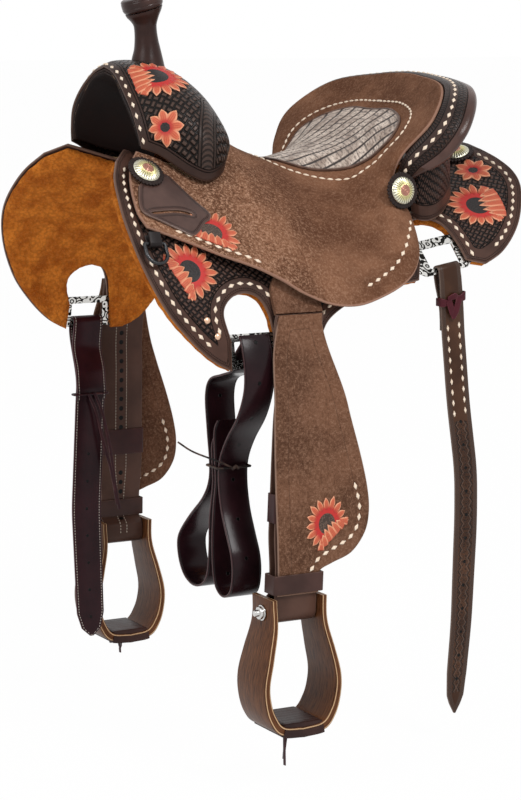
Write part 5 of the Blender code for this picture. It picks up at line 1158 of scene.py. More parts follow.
def buildInlay(s):
    half, scale = np.array(s["outline"]), np.array(s["scale"])
    ring = smooth(np.vstack([half, half[::-1][1:] * (1, -1)]), 241)[:-1]
    flat, faces = cutCells([ring], s["cell"], scale, .0016)
    gap = ringDistance(bothHalves(flat, 0.0), bothHalves(ring, 0.0))[0]
    uv = flat * scale
    lane = uv[:, 1] / s["row"] + .18 * np.sin(uv[:, 0] * 30)
    number = np.floor(lane)
    plate = uv[:, 0] / s["plate"] + .37 * number + .2 * np.sin(uv[:, 0] * 90 + number)
    furrow, notch = (1 - ease((.5 - np.abs(a % 1 - .5)) / wide) for a, wide in ((lane, .17), (plate, .22)))
    crown = s["crown"][0] + s["crown"][1] * ease(gap / .045)
    crown *= 1 - .9 * (1 - ease(gap / .004)) ** 2
    crown -= .0014 * furrow + .0007 * notch * (1 - furrow)
    points, faces = closeSheet(bothHalves(flat, np.maximum(crown, .0004) + s["standoff"]),
        bothHalves(flat, s["standoff"]), faces)
    marks = {"edge": np.tile(gap, 2), "furrow": np.tile(furrow, 2), "notch": np.tile(notch, 2)}
    made = addMesh("seatInlay", points, faces, "inlay", "seat_inlay", uv=np.vstack([uv, uv + (0, 3)]),
        marks=marks)
    tube("inlayBinding", bothHalves(ring, .0016), .0019, 8, "binding", closed=True)
    line = np.array(s["stitched"])
    line = smooth(np.vstack([line[::-1] * (1, -1), line[1:]]), 500)
    length = walked(bothHalves(line, 0.0))
    wanted = np.arange(.004, length[-1], .0118)
    picked = readAt(wanted, length, line)
    spots = bothHalves(picked, 0.0)
    ahead = bothHalves(picked + .1 * (readAt(wanted + 1e-3, length, line) - picked), 0.0)
    normals = seatFace.normal(picked[:, 0], np.abs(picked[:, 1]))
    normals[:, 1] *= np.where(picked[:, 1] < 0, -1, 1)
    stitchRow("inlayStitches", (spots, unit(ahead - spots), normals), dict(stitch, size=(.0098, .0036, .0014),
        point=1.35))


def embossed():
    # crocodile print: pale wrinkled plates, dark furrows between the rows and dashes between the plates
    f = Finish("embossed inlay")
    furrow, flat = f.mark("furrow"), f.flat()
    wrinkles = f.noise(260, 3, where=flat, stretch=(1.6, .55, 1), rough=.6)
    breaks = f.between(f.noise(120, 2, where=flat, stretch=(1, .3, 1)), .38, .6)
    dashes = f.mark("notch") * breaks
    base = f.coats((.33, .245, .195), (f.between(f.noise(34, 3, where=flat), .3, .65), (.72, .6, .51)),
        (f.fade(wrinkles, .36, .54) * .7, (.09, .05, .034)), (dashes, (.022, .011, .008)),
        (f.between(furrow, .15, .6), (.02, .01, .007)), (f.fade(f.mark("edge"), .001, .005) * .8,
        (.085, .042, .027)))
    return f.done(base, .5, f.bump(wrinkles - dashes * .8 - furrow, .8, .0009))


finishes["inlay"] = embossed()
buildInlay(inlay)
print("stage: inlay")


# Swell, gullet and horn

swell = {"leather": .0045, "liner": .003, "band": ((3.62, 2.45), (3.13, 3.27), (2.93, 4.1), (2.97, 4.95)),
    "bandHalf": .0145, "stitched": ((.24, .1), (.24, .8), (.26, 1.6), (.24, 2.1), (.2, 2.7), (.18, 3.5),
    (.2, 4.5))}
horn = {"base": (-.181, 0, .186), "lean": -.09, "height": .071, "neck": .0165, "foot": .0235, "core": .0094,
    "capRadius": .0295, "capDepth": .021, "capTilt": .3, "gap": .0004}


def swellLeather(s):
    # the tooled swell: a plain grooved rim, a diagonal weave and an arched band of nested crescents
    f = Finish("tooled swell")
    u, v, _ = f.axes(f.flat())
    edge, band, half = f.mark("edge"), f.mark("band"), s["bandHalf"]
    field = f.between(edge, .0158, .0164)
    rimLines = f.larger(f.line(edge, .0158, .0011), f.line(edge, .0122, .001))
    inBand = f.fade(band, half - .0002, half + .0003)
    bandLines = f.larger(f.line(band, half, .0012), f.line(band, half - .0048, .0011))
    bow = f.math("SQRT", f.larger(.009 ** 2 - band * band, 0.0))
    crescent = f.between(f.fraction((f.mark("bandAlong") + bow) / .0077), .3, .55)
    stamped = f.fade(band, half - .0062, half - .0058)
    pattern = basket(f, u, v, .013) * (1 - inBand) + inBand * (.5 + stamped * (crescent * .6 - .3))
    lines = f.larger(rimLines, bandLines * field)
    height = field * pattern * .9 - lines * .8 + f.noise(520, 3) * .08
    inner = f.mix(pattern, (.0038, .0025, .0022), (.068, .042, .033))
    base = f.coats(f.clouded(f.noise(16, 4), (.028, .014, .011), (.05, .026, .019)), (field, inner),
        (lines * .85, (.006, .004, .004)), (f.fade(edge, .0004, .0018) * .35, (.16, .09, .065)))
    return f.done(base, .34, f.bump(height, 1.0, .0034), .15)


def buildSwell(s):
    line = smooth(np.array(s["band"]), 60)
    centre = swellFace.at(line[:, 0], line[:, 1])

    def bandMarks(points):
        return dict(zip(("band", "bandAlong"), lineDistance(points * (1, 0, 1) + np.abs(points) * (0, 1, 0),
            centre)))

    archSheet("swellLeather", swellFace, edged(0, 6, .055, .04), edged(0, 5, .055, .04)[1:], s["leather"],
        "swell", "swell_cover", bandMarks)
    archSheet("gulletLining", gulletFace, edged(0, 3, .06, .04), edged(0, 5, .08, .04)[1:], -s["liner"],
        "gullet", "gullet_liner")
    places = np.linspace(0, 4.9, 60)
    inner = gulletFace.at(0 * places, places, s["liner"])
    front = (swellFace.at(0 * places, places, -s["leather"]) + inner) / 2
    gapHalf = np.linalg.norm(front - inner, axis=1)
    edgePath = np.vstack([mirror(front, -1)[:0:-1], front])
    tube("gulletBinding", edgePath + (.0022, 0, 0), np.concatenate([gapHalf[:0:-1], gapHalf]) + .0004, 12,
        "gullet")
    rim = dict(stitch, size=(.01, .0048, .0014))
    for tag, side in sides:
        stitchRow("swellStitches_" + tag, spacedPath(swellFace, s["stitched"], .0172, side), rim)
        bloom("bloom_swell_" + tag, swellFace, (1.76, 1.711), side, dict(bigBloom, fold=3.05, chord=.8))
        bloom("bloom_swellSmall_" + tag, swellFace, (1.318, 3.786), side, dict(smallBloom, turn=.15))


def buildHorn(h):
    base, axis, count = np.array(h["base"]), unit(np.array([h["lean"], 0, 1.0])), 64
    turns = np.linspace(0, 2 * math.pi, count, endpoint=False)
    across = np.array([0, 1.0, 0])
    ahead = np.cross(across, axis)
    around = np.outer(np.cos(turns), ahead) + np.outer(np.sin(turns), across)
    n, b, c, top = h["neck"], h["foot"], h["core"], h["height"]
    tilt = math.tan(h["capTilt"] + h["lean"])
    outer = smooth([(b, 0), (b * .94, .006), (n * 1.12, .018), (n, .032), (n * .97, .044), (n * 1.02, .051),
        (n * 1.24, .059), (n * 1.5, .066), (n * 1.62, top)], 46)
    rings = []
    for radius, height in [(c, 0)] + outer.tolist() + [(c, top)]:
        ring = base + axis * height + radius * around
        found = swellFace.nearest(np.column_stack([ring[:, 0], np.abs(ring[:, 1])]), plan)
        floor = swellFace.at(found[:, 0], found[:, 1], h["gap"])[:, 2]
        drop = 1 - ease(height / .02)
        ring += np.outer((floor + height * .9 - ring[:, 2]) / axis[2] * drop, axis)
        ring += np.outer((ring - base - axis * height) @ ahead * tilt * ease((height - .045) / (top - .045)),
            axis)
        rings.append(ring)
    rings.append(rings[0])
    addMesh("hornWrap", np.vstack(rings), ringFaces(len(rings), count, False), "horn", "horn_wrap",
        marks={"edge": np.full(len(rings) * count, .01)})
    capAxis = np.array([-math.sin(h["capTilt"]), 0, math.cos(h["capTilt"])])
    r, d = h["capRadius"], h["capDepth"]
    lower = [(.5, 0), (.86, .0286), (.95, .1048), (.992, .2381), (1, .3238), (.986, .3619), (1, .4),
        (1.002, .55), (.996, .7), (.975, .76), (.99, .8), (.962, .88), (.9, .945), (.78, .985), (.6, 1),
        (.3, .99), (.0271, .985)]
    spun("hornCap", smooth(np.array(lower) * (r, d), 70), base + axis * top + capAxis * h["gap"], capAxis, 72,
        "hornCap", node="horn_cap")


def hornCapLeather():
    f = Finish("horn cap leather")
    clouds = f.noise(22, 4)
    scuffs = f.between(f.noise(70, 4, stretch=(1, 1, 3)), .6, .75)
    base = f.mix(scuffs * .35, f.clouded(clouds, (.026, .012, .01), (.062, .029, .023)), (.16, .095, .075))
    return f.done(base, f.between(clouds, .2, .8, .22, .34), f.bump(f.noise(600, 3), .14, .0005), .24)


finishes["swell"] = swellLeather(swell)
finishes["hornCap"] = hornCapLeather()
buildSwell(swell)
buildHorn(horn)
print("stage: swell and horn")


# Cantle roll and back

cantle = {"leather": .005, "count": 150, "rim": cmRows((23.9, 0, 16.6), (23.4, 5.6, 16.3), (22.4, 11.2, 15.8),
    (20.9, 15.9, 14.9), (19, 19, 13.2), (16.6, 20.8, 10.8), (14.7, 20.8, 8.3), (12.9, 19.4, 6), (12.3, 18, 4),
    (12.4, 17.1, 2.2)), "rollEdge": cmRows((28.4, 0, 16), (28, 6.4, 15.8), (26.6, 13, 15.2), (24.9, 18, 14.4),
    (22.9, 21.4, 12.8), (20.9, 23, 10.2), (18.4, 23.5, 7.9), (15.8, 22.2, 5.7), (14.5, 20.6, 4.2),
    (14.2, 19, 2.6)), "foot": cmRows((27.2, 0), (26.4, 5.2), (25.2, 10.2), (23.6, 14), (21.3, 16.2),
    (19.2, 17.4), (17.6, 17.8), (16.5, 17.6), (15.9, 17.1), (15.6, 16.6))}


def rimFrame(s):
    # rim of the seat, the directions out to the edge of the roll and up, its width, places and tangent
    place = np.linspace(0, len(s["rim"]) - 1, s["count"])
    fine = np.linspace(0, 6, 1200)
    edge = seatFace.point(np.full(1200, 13.0), fine)
    v = fine[np.argmin(((catmull(s["rim"], place)[:, None] - edge) ** 2).sum(2), axis=1)]
    v = np.convolve(np.pad(v, 4, mode="reflect", reflect_type="odd"), np.full(9, 1 / 9), "valid")
    v[0] = 0
    rim = seatFace.point(np.full(s["count"], 13.0), np.clip(v, 0, 6))
    outwards = catmull(s["rollEdge"], place) - rim
    outwards[0, 1] = 0
    width = np.linalg.norm(outwards, axis=1)
    tangent = headings(rim)
    tangent[0] = (0, 1, 0)
    outwards = unit(outwards - tangent * (outwards * tangent).sum(1)[:, None])
    return rim, outwards, unit(np.cross(outwards, tangent)), width, place, tangent


def buildCantle(s):
    count, steps = s["count"], 66
    rim, outwards, up, width, place, tangent = rimFrame(s)
    taper = 1 - .35 * ease((place - 6) / 3)
    inner = s["leather"] - .0005
    topSide = np.arange(steps) < 34
    rings, lanes = [], []
    for k, (w, f) in enumerate(zip(width, taper)):
        corners = np.array([(inner, -.004), (inner, -.0008), (inner + .001, .0004 * f),
            (.2 * w + .001, .0022 * f), (.45 * w, .0028 * f), (.68 * w, .0024 * f), (w - .0015, .0008),
            (w + .0028 * f, -.0022 * f), (w + .0045 * f, -.0075 * f), (w + .0026 * f, -.0125 * f),
            (.88 * w, -.0135 * f), (.55 * w, -.0108 * f), (inner, -.0075 * f), (inner, -.0055)])
        ring = catmull(corners, np.linspace(0, 13, steps))
        share = (ring[:, 0] - inner) / max(w - inner, 1e-4)
        ring[:, 1] -= np.exp(-((share - .78) / .035) ** 2) * topSide * .0013 * f
        rings.append(rim[k] + outwards[k] * ring[:, :1] + up[k] * ring[:, 1:])
        lanes.append(np.where(topSide, share, 2.0))
    rings = [r * (1, -1, 1) for r in rings[:0:-1]] + rings
    lanes = lanes[:0:-1] + lanes
    length, n = walked([r[5] for r in rings]), len(rings)
    uv = np.column_stack([np.repeat(length, steps), np.tile(np.linspace(0, .085, steps), n)])
    addMesh("cantleRoll", np.vstack(rings), ringFaces(n, steps), "roll", "cantle_roll", uv=uv,
        marks={"lane": np.concatenate(lanes)})

    path = rim + outwards * (.34 * width + inner * .66)[:, None] + up * (.0026 * taper)[:, None]
    walk = walked(path)
    wanted = np.arange(.0076, walk[-1] - .012, .0152)
    for tag, side in sides:
        spots, ahead, raised = (mirror(readAt(wanted, walk, rows), side) for rows in (path, tangent, up))
        stitchRow("cantleStitches_" + tag, (spots, unit(ahead), unit(raised)), stitch)

    head = rim + outwards * (.55 * width)[:, None] - up * .0165
    found = skirtFace.nearest(catmull(s["foot"], place), plan)
    foot = skirtFace.at(found[:, 0], found[:, 1], .001 + s["leather"] / 2)
    rows = np.linspace(0, 1, 34)[:, None, None]
    along = np.gradient(head, axis=0)
    along[0] = (0, 1, 0)
    faceOut = unit(np.cross(foot - head, along))
    middle = head * (1 - rows) + foot * rows - .006 * np.sin(math.pi * rows) * faceOut
    both = []
    for offset in (s["leather"] / 2, -s["leather"] / 2):
        half = middle + faceOut * offset
        both.append(np.concatenate([half[:, :0:-1] * (1, -1, 1), half], axis=1).reshape(-1, 3))
    wide = 2 * count - 1
    tall = np.linalg.norm(foot - head, axis=1)
    tall = np.concatenate([tall[:0:-1], tall])
    down = rows[:, 0] * tall
    gap = np.minimum(np.minimum(down, tall - down), np.minimum(np.arange(wide), wide - 1 - np.arange(wide))
        * .0035)
    uv = np.stack(np.broadcast_arrays(length[None], down), -1).reshape(-1, 2)
    points, faces = closeSheet(*both, gridFaces(len(rows), wide))
    addMesh("cantleBack", points, faces, "skirt", "cantle_back", uv=np.vstack([uv, uv + (0, 3)]),
        marks={"edge": np.tile(gap.ravel(), 2), "along": np.tile(uv[:, 0], 2)})


def rollLeather():
    # from the seat outwards: a crescent border, a plain strip, a stippled strip,
    # then the smooth brown binding
    f = Finish("cantle roll leather")
    u, v, _ = f.axes(f.flat())
    lane, clouds, deep = f.mark("lane"), f.noise(15, 4), (.008, .0055, .005)
    border = f.fade(lane, .15, .18)
    crescents = border * f.between(f.fraction(u / .0042 + lane * 3), .35, .6)
    strip = f.between(lane, .46, .49) * f.fade(lane, .72, .74)
    weave = basket(f, u, v, .0062) * strip
    binding = f.between(lane, .775, .79)
    lines = f.larger(f.line(lane, .17, .02), f.larger(f.line(lane, .47, .018), f.line(lane, .78, .03)))
    base = f.coats(f.clouded(clouds, (.026, .014, .011), (.052, .028, .021)),
        (strip * (1 - weave) * .9, deep), (border * (1 - crescents) * .9, deep),
        (binding, f.clouded(clouds, (.05, .025, .02), (.098, .052, .042))), (lines * .9, (.005, .003, .003)))
    height = weave * .9 + crescents * .6 + f.noise(520, 3) * .08 - lines * .7
    return f.done(base, f.between(binding, 0.0, 1.0, .4, .27), f.bump(height, 1.0, .002), .22)


finishes["roll"] = rollLeather()
buildCantle(cantle)
print("stage: cantle")


# Conchos: a leather rosette with a scalloped rim under a sunburst dome

conchoSizes = {"radius": .0195, "rosette": .0265, "thickness": .003, "dome": .005, "scallops": 30, "rays": 28}
conchoTones = {"copper": (.55, .26, .19), "gold": (.78, .7, .34), "silver": (.8, .78, .62), "dark":
    (.1, .085, .05)}


def conchoLift(face, u, v, radius):
    # how far a flat disc stands off the face to clear it
    centre, normal = face.point(u, v)[0], face.normal(u, v)[0]
    reach = (.05 if face is skirtFace else 1.6, 1.6)
    near = [np.clip(np.linspace(p[0] - r, p[0] + r, 41), *ends) for p, r,
        ends in zip((u, v), reach, face.limits)]
    offset = face.point(*(g.ravel() for g in np.meshgrid(*near))) - centre
    height = offset @ normal
    flat = np.linalg.norm(offset - height[:, None] * normal, axis=1)
    return height[flat <= radius].max()


def concho(node, foot, normal, side):
    s, t = conchoSizes, conchoSizes["thickness"]
    foot, normal = mirror(foot, side), unit(mirror(normal, side))
    angles = np.linspace(0, 2 * math.pi, 240, endpoint=False)
    lobes = np.abs(np.sin(angles * s["scallops"] / 2))
    rows = np.array([(.2, 0), (.97, 0), (1.0, .3), (1.0, .7), (.97, 1), (.9, 1), (.83, .82), (.78, .95),
        (.72, 1), (.2, 1)]) * (1, t)
    out, high = rows[:, :1], rows[:, 1:]
    radii = s["rosette"] * out * np.where(out > .5, .93 + .07 * lobes ** .6, 1.0)
    ridged = high * np.where((out > .8) & (high > .002), .86 + .14 * lobes, 1.0)
    turned("rosette_" + node, radii, ridged, foot, normal, angles, "rosette", node=node,
        marks={"edge": np.full(ridged.size, .01)})
    dome = np.linspace(.985, .02, 26)
    share = np.concatenate([[.3, .97, 1.0], dome])[:, None]
    rise = np.concatenate([[0.0, 0.0, .0006], .0011 + s["dome"] * (1 - dome ** 2) ** .8])[:, None]
    rays = .5 + .5 * np.cos(angles * s["rays"])
    window = ease((share - .42) / .05) * ease((1.0 - share) / .04)
    grains = np.cos(angles * 9) * np.cos(share * 60)
    heights = (rise + .0006 * window * rays + ease((.4 - share) / .03) * .00035 * grains
        + ease((.42 - share) / .02) * .0007)
    copper, gold, silver, dark = (np.array(c) for c in conchoTones.values())
    cut, gilt = (ease((share - a) / b)[..., None] for a, b in ((.4, .02), (.55, .35)))
    shade = (window * (1 - rays) * .75)[..., None]
    disc = (gold * (1 - gilt) + silver * gilt) * (1 - shade) + dark * shade
    tint = copper * (.45 + .55 * (.5 + .5 * grains[..., None])) * (1 - cut) + disc * cut
    turned("conchoMetal_" + node, s["radius"] * share, heights, foot + normal * (t + .0001), normal, angles,
        "silver", marks={"tint": tint.reshape(-1, 3)})


gapSize, strapLeather = .0004, .003


def conchoOn(node, face, spot, side, baseLift):
    u, v = face.nearest(np.array([spot]), plan).T
    normal = face.normal(u, v)[0]
    lift = baseLift + conchoLift(face, u, v, conchoSizes["rosette"]) + gapSize
    concho(node, face.point(u, v)[0] + normal * lift, normal, side)


for tag, side in sides:
    conchoOn("front_concho_" + tag, seatFace, (-.26, .149), side, strapLeather + 2 * gapSize if side < 0
        else 0)
    conchoOn("rear_concho_" + tag, skirtFace, (.299, .062), side, 0)
    concho("jockey_concho_" + tag, (.1195, .1973, .0034), (.1, 1, .1), side)


# Rope strap under the front concho, near side

ropeStrap = {"outline": ((.18, 2.93), (.5, 2.1), (.99, 1.72), (1.4, 2.33), (2.12, 3.26), (2.1, 3.8),
    (1.86, 4.23), (1.32, 5.5), (.9, 5.55), (.44, 5.3), (.08, 4.83)), "slit":
    ((.36, 4.9), (.34, 4.76), (.9, 4.36), (1.42, 4.06), (1.44, 4.2), (.92, 4.5)), "scale": (.039, .024)}


def ropeLeather():
    # smooth strap leather with a pair of creased lines inside its edge
    f = Finish("rope strap leather")
    edge = f.mark("edge")
    lines = f.larger(f.line(edge, .0042, .0007), f.line(edge, .0058, .0006))
    base = f.coats(f.clouded(f.noise(20, 4), (.05, .025, .02), (.092, .05, .04)),
        (lines * .75, (.012, .007, .006)), (f.fade(edge, .0003, .0014) * .5, (.2, .13, .1)))
    return f.done(base, .32, f.bump(f.noise(520, 3) * .1 - lines, .7, .0009), .2)


finishes["rope"] = ropeLeather()
ropeRing = np.array(ropeStrap["outline"])
ropeRings = [smooth(np.vstack([ropeRing, ropeRing[:1]]), 121)[:-1],
    smooth(np.vstack([ropeStrap["slit"], ropeStrap["slit"][:1]]), 61)[:-1]]
cutSheet("ropeStrap", seatFace, ropeRings, .0032, ropeStrap["scale"],
    (2 * gapSize + strapLeather, 2 * gapSize), -1, "rope", bevel=.001, node="rope_strap")
print("stage: conchos and rope strap")


# Dees and their leather loops

dee = {"spot": (-.286, -.056), "half": .0145, "drop": .03, "wire": .0026, "standoff": .007, "loopWidth": .018,
    "loopTop": .014}


def buildDee(s, tag, side):
    u, v = skirtFace.nearest(np.array([s["spot"]]), sideView).T
    normal = skirtFace.normal(u, v)[0]
    down = skirtFace.point(u, v + .01)[0] - skirtFace.point(u, v - .01)[0]
    down = unit(down - normal * (down @ normal))
    middle = skirtFace.point(u, v)[0] + normal * s["standoff"]
    middle, along, down, normal = (mirror(p, side) for p in (middle, np.cross(normal, down), down, normal))
    half, wide, turns = s["half"], s["half"] * 1.1, np.linspace(.5 * math.pi, -.5 * math.pi, 40)
    bow = np.column_stack([wide * np.sin(turns), s["drop"] - wide + wide * np.cos(turns)])
    bar = [(k * half, 0) for k in np.linspace(-.92, .92, 14)] + [(half * 1.04, .0006), (wide, .003)]
    ring = np.vstack([bar, bow, [(-wide, .003), (-half * 1.04, .0006)]])
    tube("deeRing_" + tag, middle + np.outer(ring[:, 0], along) + np.outer(ring[:, 1], down), s["wire"], 16,
        "blackMetal", closed=True, node="dee_" + tag)
    r, top = s["wire"] + gapSize + strapLeather / 2, -s["loopTop"]
    angles = np.linspace(0, math.pi, 25)
    strip = np.vstack([(top, r + .001), np.column_stack([r * np.sin(angles), r * np.cos(angles)]),
        (top, -r - .0008)])
    path = middle + np.outer(strip[:, 0], down) + np.outer(strip[:, 1], normal)
    strap("deeLoop_" + tag, path, along, s["loopWidth"], strapLeather, "blackStrap", node="dee_loop_" + tag)


for tag, side in sides:
    buildDee(dee, tag, side)


# Fenders, stirrup straps, sleeves and hobbles

hanging = {"x": -.0875, "liftHeight": -.152, "topY": .282, "depth": .12, "ends":
    {"near": (.317, -.028), "far": (.3025, -.008)}, "setback": .0056, "plySpread": .0158, "boltSpread": .0286,
    "boltHeight": -.55, "width": .072, "neck": .0645, "fender": .0036, "sleeveWall": .0014, "sleeveHeight":
    .039, "sleeveZ": -.408, "hobbleZ": -.5105, "hobbleWidth": .026}
fenderOutline = cmRows((3.0, -15.2), (3.4, -17), (5.0, -22.3), (7.0, -28.5), (8.9, -34), (10.2, -38.5),
    (10.7, -42), (10.2, -45), (8.2, -47.6), (5.2, -48.8), (3.4, -49.6), (3.1, -51), (3.1, -52.6),
    (-3.1, -52.6), (-3.1, -50), (-3.4, -45), (-3.9, -39), (-4.4, -32), (-4.7, -26), (-4.4, -21),
    (-3.8, -17.4), (-3.6, -15.2))


def hang(tag, z):
    # outer half width of a fender at heights z, and its middle line, which sways with the strap
    farY, sway = hanging["ends"][tag]
    depth = hanging["liftHeight"] - np.asarray(z, float)
    outer = hanging["topY"] + (farY - hanging["topY"]) * ease(depth / hanging["depth"])
    full = hanging["liftHeight"] - hanging["boltHeight"]
    shift = sway * (.43 * (1 - np.exp(-np.maximum(depth, 0) / .05)) + .57 * depth / full)
    return outer, hanging["x"] + shift


def hangAxis(tag):
    low, high = hang(tag, -.5)[1], hang(tag, -.36)[1]
    return unit(np.array([high - low, 0, .14]))


def fenderFace(tag):
    def point(u, v):
        outer, middle = hang(tag, -v)
        return np.column_stack([middle + u, outer, -v])
    return Face(point, ((-.12, .12), (.1, .56)))


def roundedLoop(half, low, high, r, steps):
    # a rectangle with rounded corners, from -half to half across and from low to high
    turns = np.linspace(0, math.pi / 2, steps)
    corners = ((half - r, high - r), (r - half, high - r), (r - half, low + r), (half - r, low + r))
    return np.array([(cx + r * math.cos(start * math.pi / 2 + t), cy + r * math.sin(start * math.pi / 2 + t))
        for start, (cx, cy) in enumerate(corners) for t in turns])


def strapLoop(tag, side, z, half, wall, setback):
    # closed path round both plies of the stirrup strap
    outer, middle = hang(tag, z)
    out = outer - setback - wall / 2
    back = outer - hanging["setback"] - strapLeather - hanging["plySpread"] - .0005 - wall / 2
    a, r = half + .0009 + wall / 2, .0022
    corners = roundedLoop(a, back, out, r, 5)
    dense = []
    for first, second in zip(corners, np.roll(corners, -1, axis=0)):
        count = max(1, int(np.linalg.norm(second - first) / .004))
        dense += [first + (second - first) * k / count for k in range(count)]
    dense = np.array(dense)
    return mirror(np.column_stack([middle + dense[:, 0], dense[:, 1], np.full(len(dense), z)]), side)


def fenderSuede():
    # rough-out fender with a broad darker border crease and a pale cut edge
    f = Finish("fender suede")
    edge, clouds, nap, fine = f.mark("edge"), f.noise(10, 5), f.noise(260, 5, rough=.75), f.noise(1200, 2)
    free = f.fade(f.axes(f.place())[2], -.17, -.158)
    base = f.coats((.084, .037, .02), (f.between(clouds, .34, .66), (.158, .073, .041)),
        (f.fade(nap, .3, .46) * .6, (.034, .016, .01)), (f.between(nap * .6 + fine * .4, .48, .62) * .7,
        (.28, .155, .1)), (f.line(edge, .02, .0012) * .35, (.03, .016, .011)),
        (f.fade(edge, .0006, .0018) * free * .8, (.27, .17, .125)))
    return f.done(base, .95, f.bump(nap * .7 + fine * .3, .6, .0013), .15)


finishes["fender"] = fenderSuede()
finishes["stirrupStrap"] = holedLeather("stirrup strap leather", {"colour": (.098, .049, .035), "dark":
    (.056, .027, .019), "rub": (.17, .1, .075), "rough": .42, "holes":
    ((.47, .54, .0147, .0036), (.6, .76, .0147, .0036)), "thread": {"inset": .027, "pitch": .0046, "colour":
    (.66, .58, .48), "from": .445}})


def buildFender(tag, side):
    h = hanging
    face = fenderFace(tag)
    ring = np.vstack([smooth(fenderOutline[:13], 150), smooth(fenderOutline[13:], 110)])
    ring[:, 1] = np.minimum(ring[:, 1], h["liftHeight"] - .0004)
    ring = ring * (1, -1)
    body = bodyOf("fender_" + tag)
    cutSheet("fenderLeather_" + tag, face, [ring], .0062, (1, 1), (0, -h["fender"]), side, "fender",
        bevel=.0011, node="fender_" + tag)
    line = np.array([(.0845, .386), (.0905, .405), (.0925, .42), (.09, .44), (.079, .4555), (.064, .4635),
        (.048, .4705), (.031, .48), (.0215, .4925)])
    line[:, 0] -= .0015
    row = spacedPath(face, line, .0152, side)
    stitchRow("fenderStitches_" + tag, row, stitch, body=body)
    inner = spacedPath(face, line, .0152, side, lift=-h["fender"])
    stitchRow("fenderStitchesInner_" + tag, inner, stitch, flip=True, body=body)
    bloom("bloom_fender_" + tag, face, (.0405, .4335), side, dict(bigBloom, radius=.0375, fold=.92, chord=.6,
        height=.0015, stretch=.88, finish="petalsSuede"), body=body)

    ply = strapLeather
    z = np.concatenate([np.linspace(h["liftHeight"] - .0005, -.3, 28), np.linspace(-.306, -.5235, 34),
        np.linspace(-.527, -.5375, 6), [-.544, h["boltHeight"]]])
    outerY, middle = hang(tag, z)
    spread = .004 + (h["plySpread"] - .004) * ease((-.17 - z) / .13)
    spread += (h["boltSpread"] - h["plySpread"]) * ease((-.5235 - z) / .014)
    outerRun = np.column_stack([middle, outerY - h["setback"] - ply / 2, z])
    innerRun = outerRun - np.column_stack([0 * z, spread, 0 * z])
    bendY, bendX = h["ends"][tag][0] - h["setback"] - ply / 2 - h["boltSpread"] / 2, hang(tag,
        h["boltHeight"])[1]
    turns = np.linspace(0, math.pi, 27)[1:-1]
    bend = np.column_stack([np.full(25, bendX), bendY + h["boltSpread"] / 2 * np.cos(turns), h["boltHeight"]
        - h["boltSpread"] / 2 * np.sin(turns)])
    path = mirror(np.vstack([outerRun, bend, innerRun[::-1]]), side)
    width = h["width"] + (h["neck"] - h["width"]) * ease((-.44 - path[:, 2]) / .06)
    strap("stirrupStrap_" + tag, path, (1, 0, 0), width, ply, "stirrupStrap", node="stirrup_strap_" + tag)
    axis = hangAxis(tag)
    loop = strapLoop(tag, side, h["sleeveZ"], h["width"] / 2, h["sleeveWall"], h["setback"] - gapSize
        - h["sleeveWall"])
    strap("sleeveCover_" + tag, loop, axis, h["sleeveHeight"], h["sleeveWall"], "sleeve", closed=True,
        node="sleeve_" + tag, slotName="burgundy_leather")
    loop = strapLoop(tag, side, h["hobbleZ"], .0348, .0025, -.0029)
    strap("hobbleStrap_" + tag, loop, axis, h["hobbleWidth"], .0025, "hobble", closed=True, node="hobble_"
        + tag)


for tag, side in sides:
    buildFender(tag, side)
print("stage: fenders and straps")


# Stirrups

stirrup = {"depth": .08, "treadWidth": .066, "steps": 80, "bevel": .0022, "outer":
    cmRows((4.2, -52.9), (4.2, -56.4), (5.1, -60.2), (5.9, -63.8), (5.8, -66.6), (5, -69.2), (3.4, -71),
    (0, -71.4)), "inner": cmRows((3.46, -52.9), (3.45, -56.6), (4.3, -60.4), (5.02, -63.9), (4.9, -66.2),
    (4.25, -68.2), (2.9, -69.9), (0, -70.3)), "lace": {"near": (0.0, .055), "far": (-.016, .018)}}


def bowRing(share, depth, bevel):
    # one section of the bow from its inner to its outer face, (share across, depth), with rounded corners
    turns = np.linspace(0, math.pi / 2, 4)
    first = np.column_stack([share * (1 - np.cos(turns)), depth - bevel * (1 - np.sin(turns))])
    second = (first * (-1, 1) + (1, 0))[::-1]
    side = np.column_stack([np.linspace(share, 1 - share, 7)[1:-1], np.full(5, depth)])
    upper = np.vstack([first, side, second])
    return np.vstack([upper, (upper * (1, -1))[::-1]])


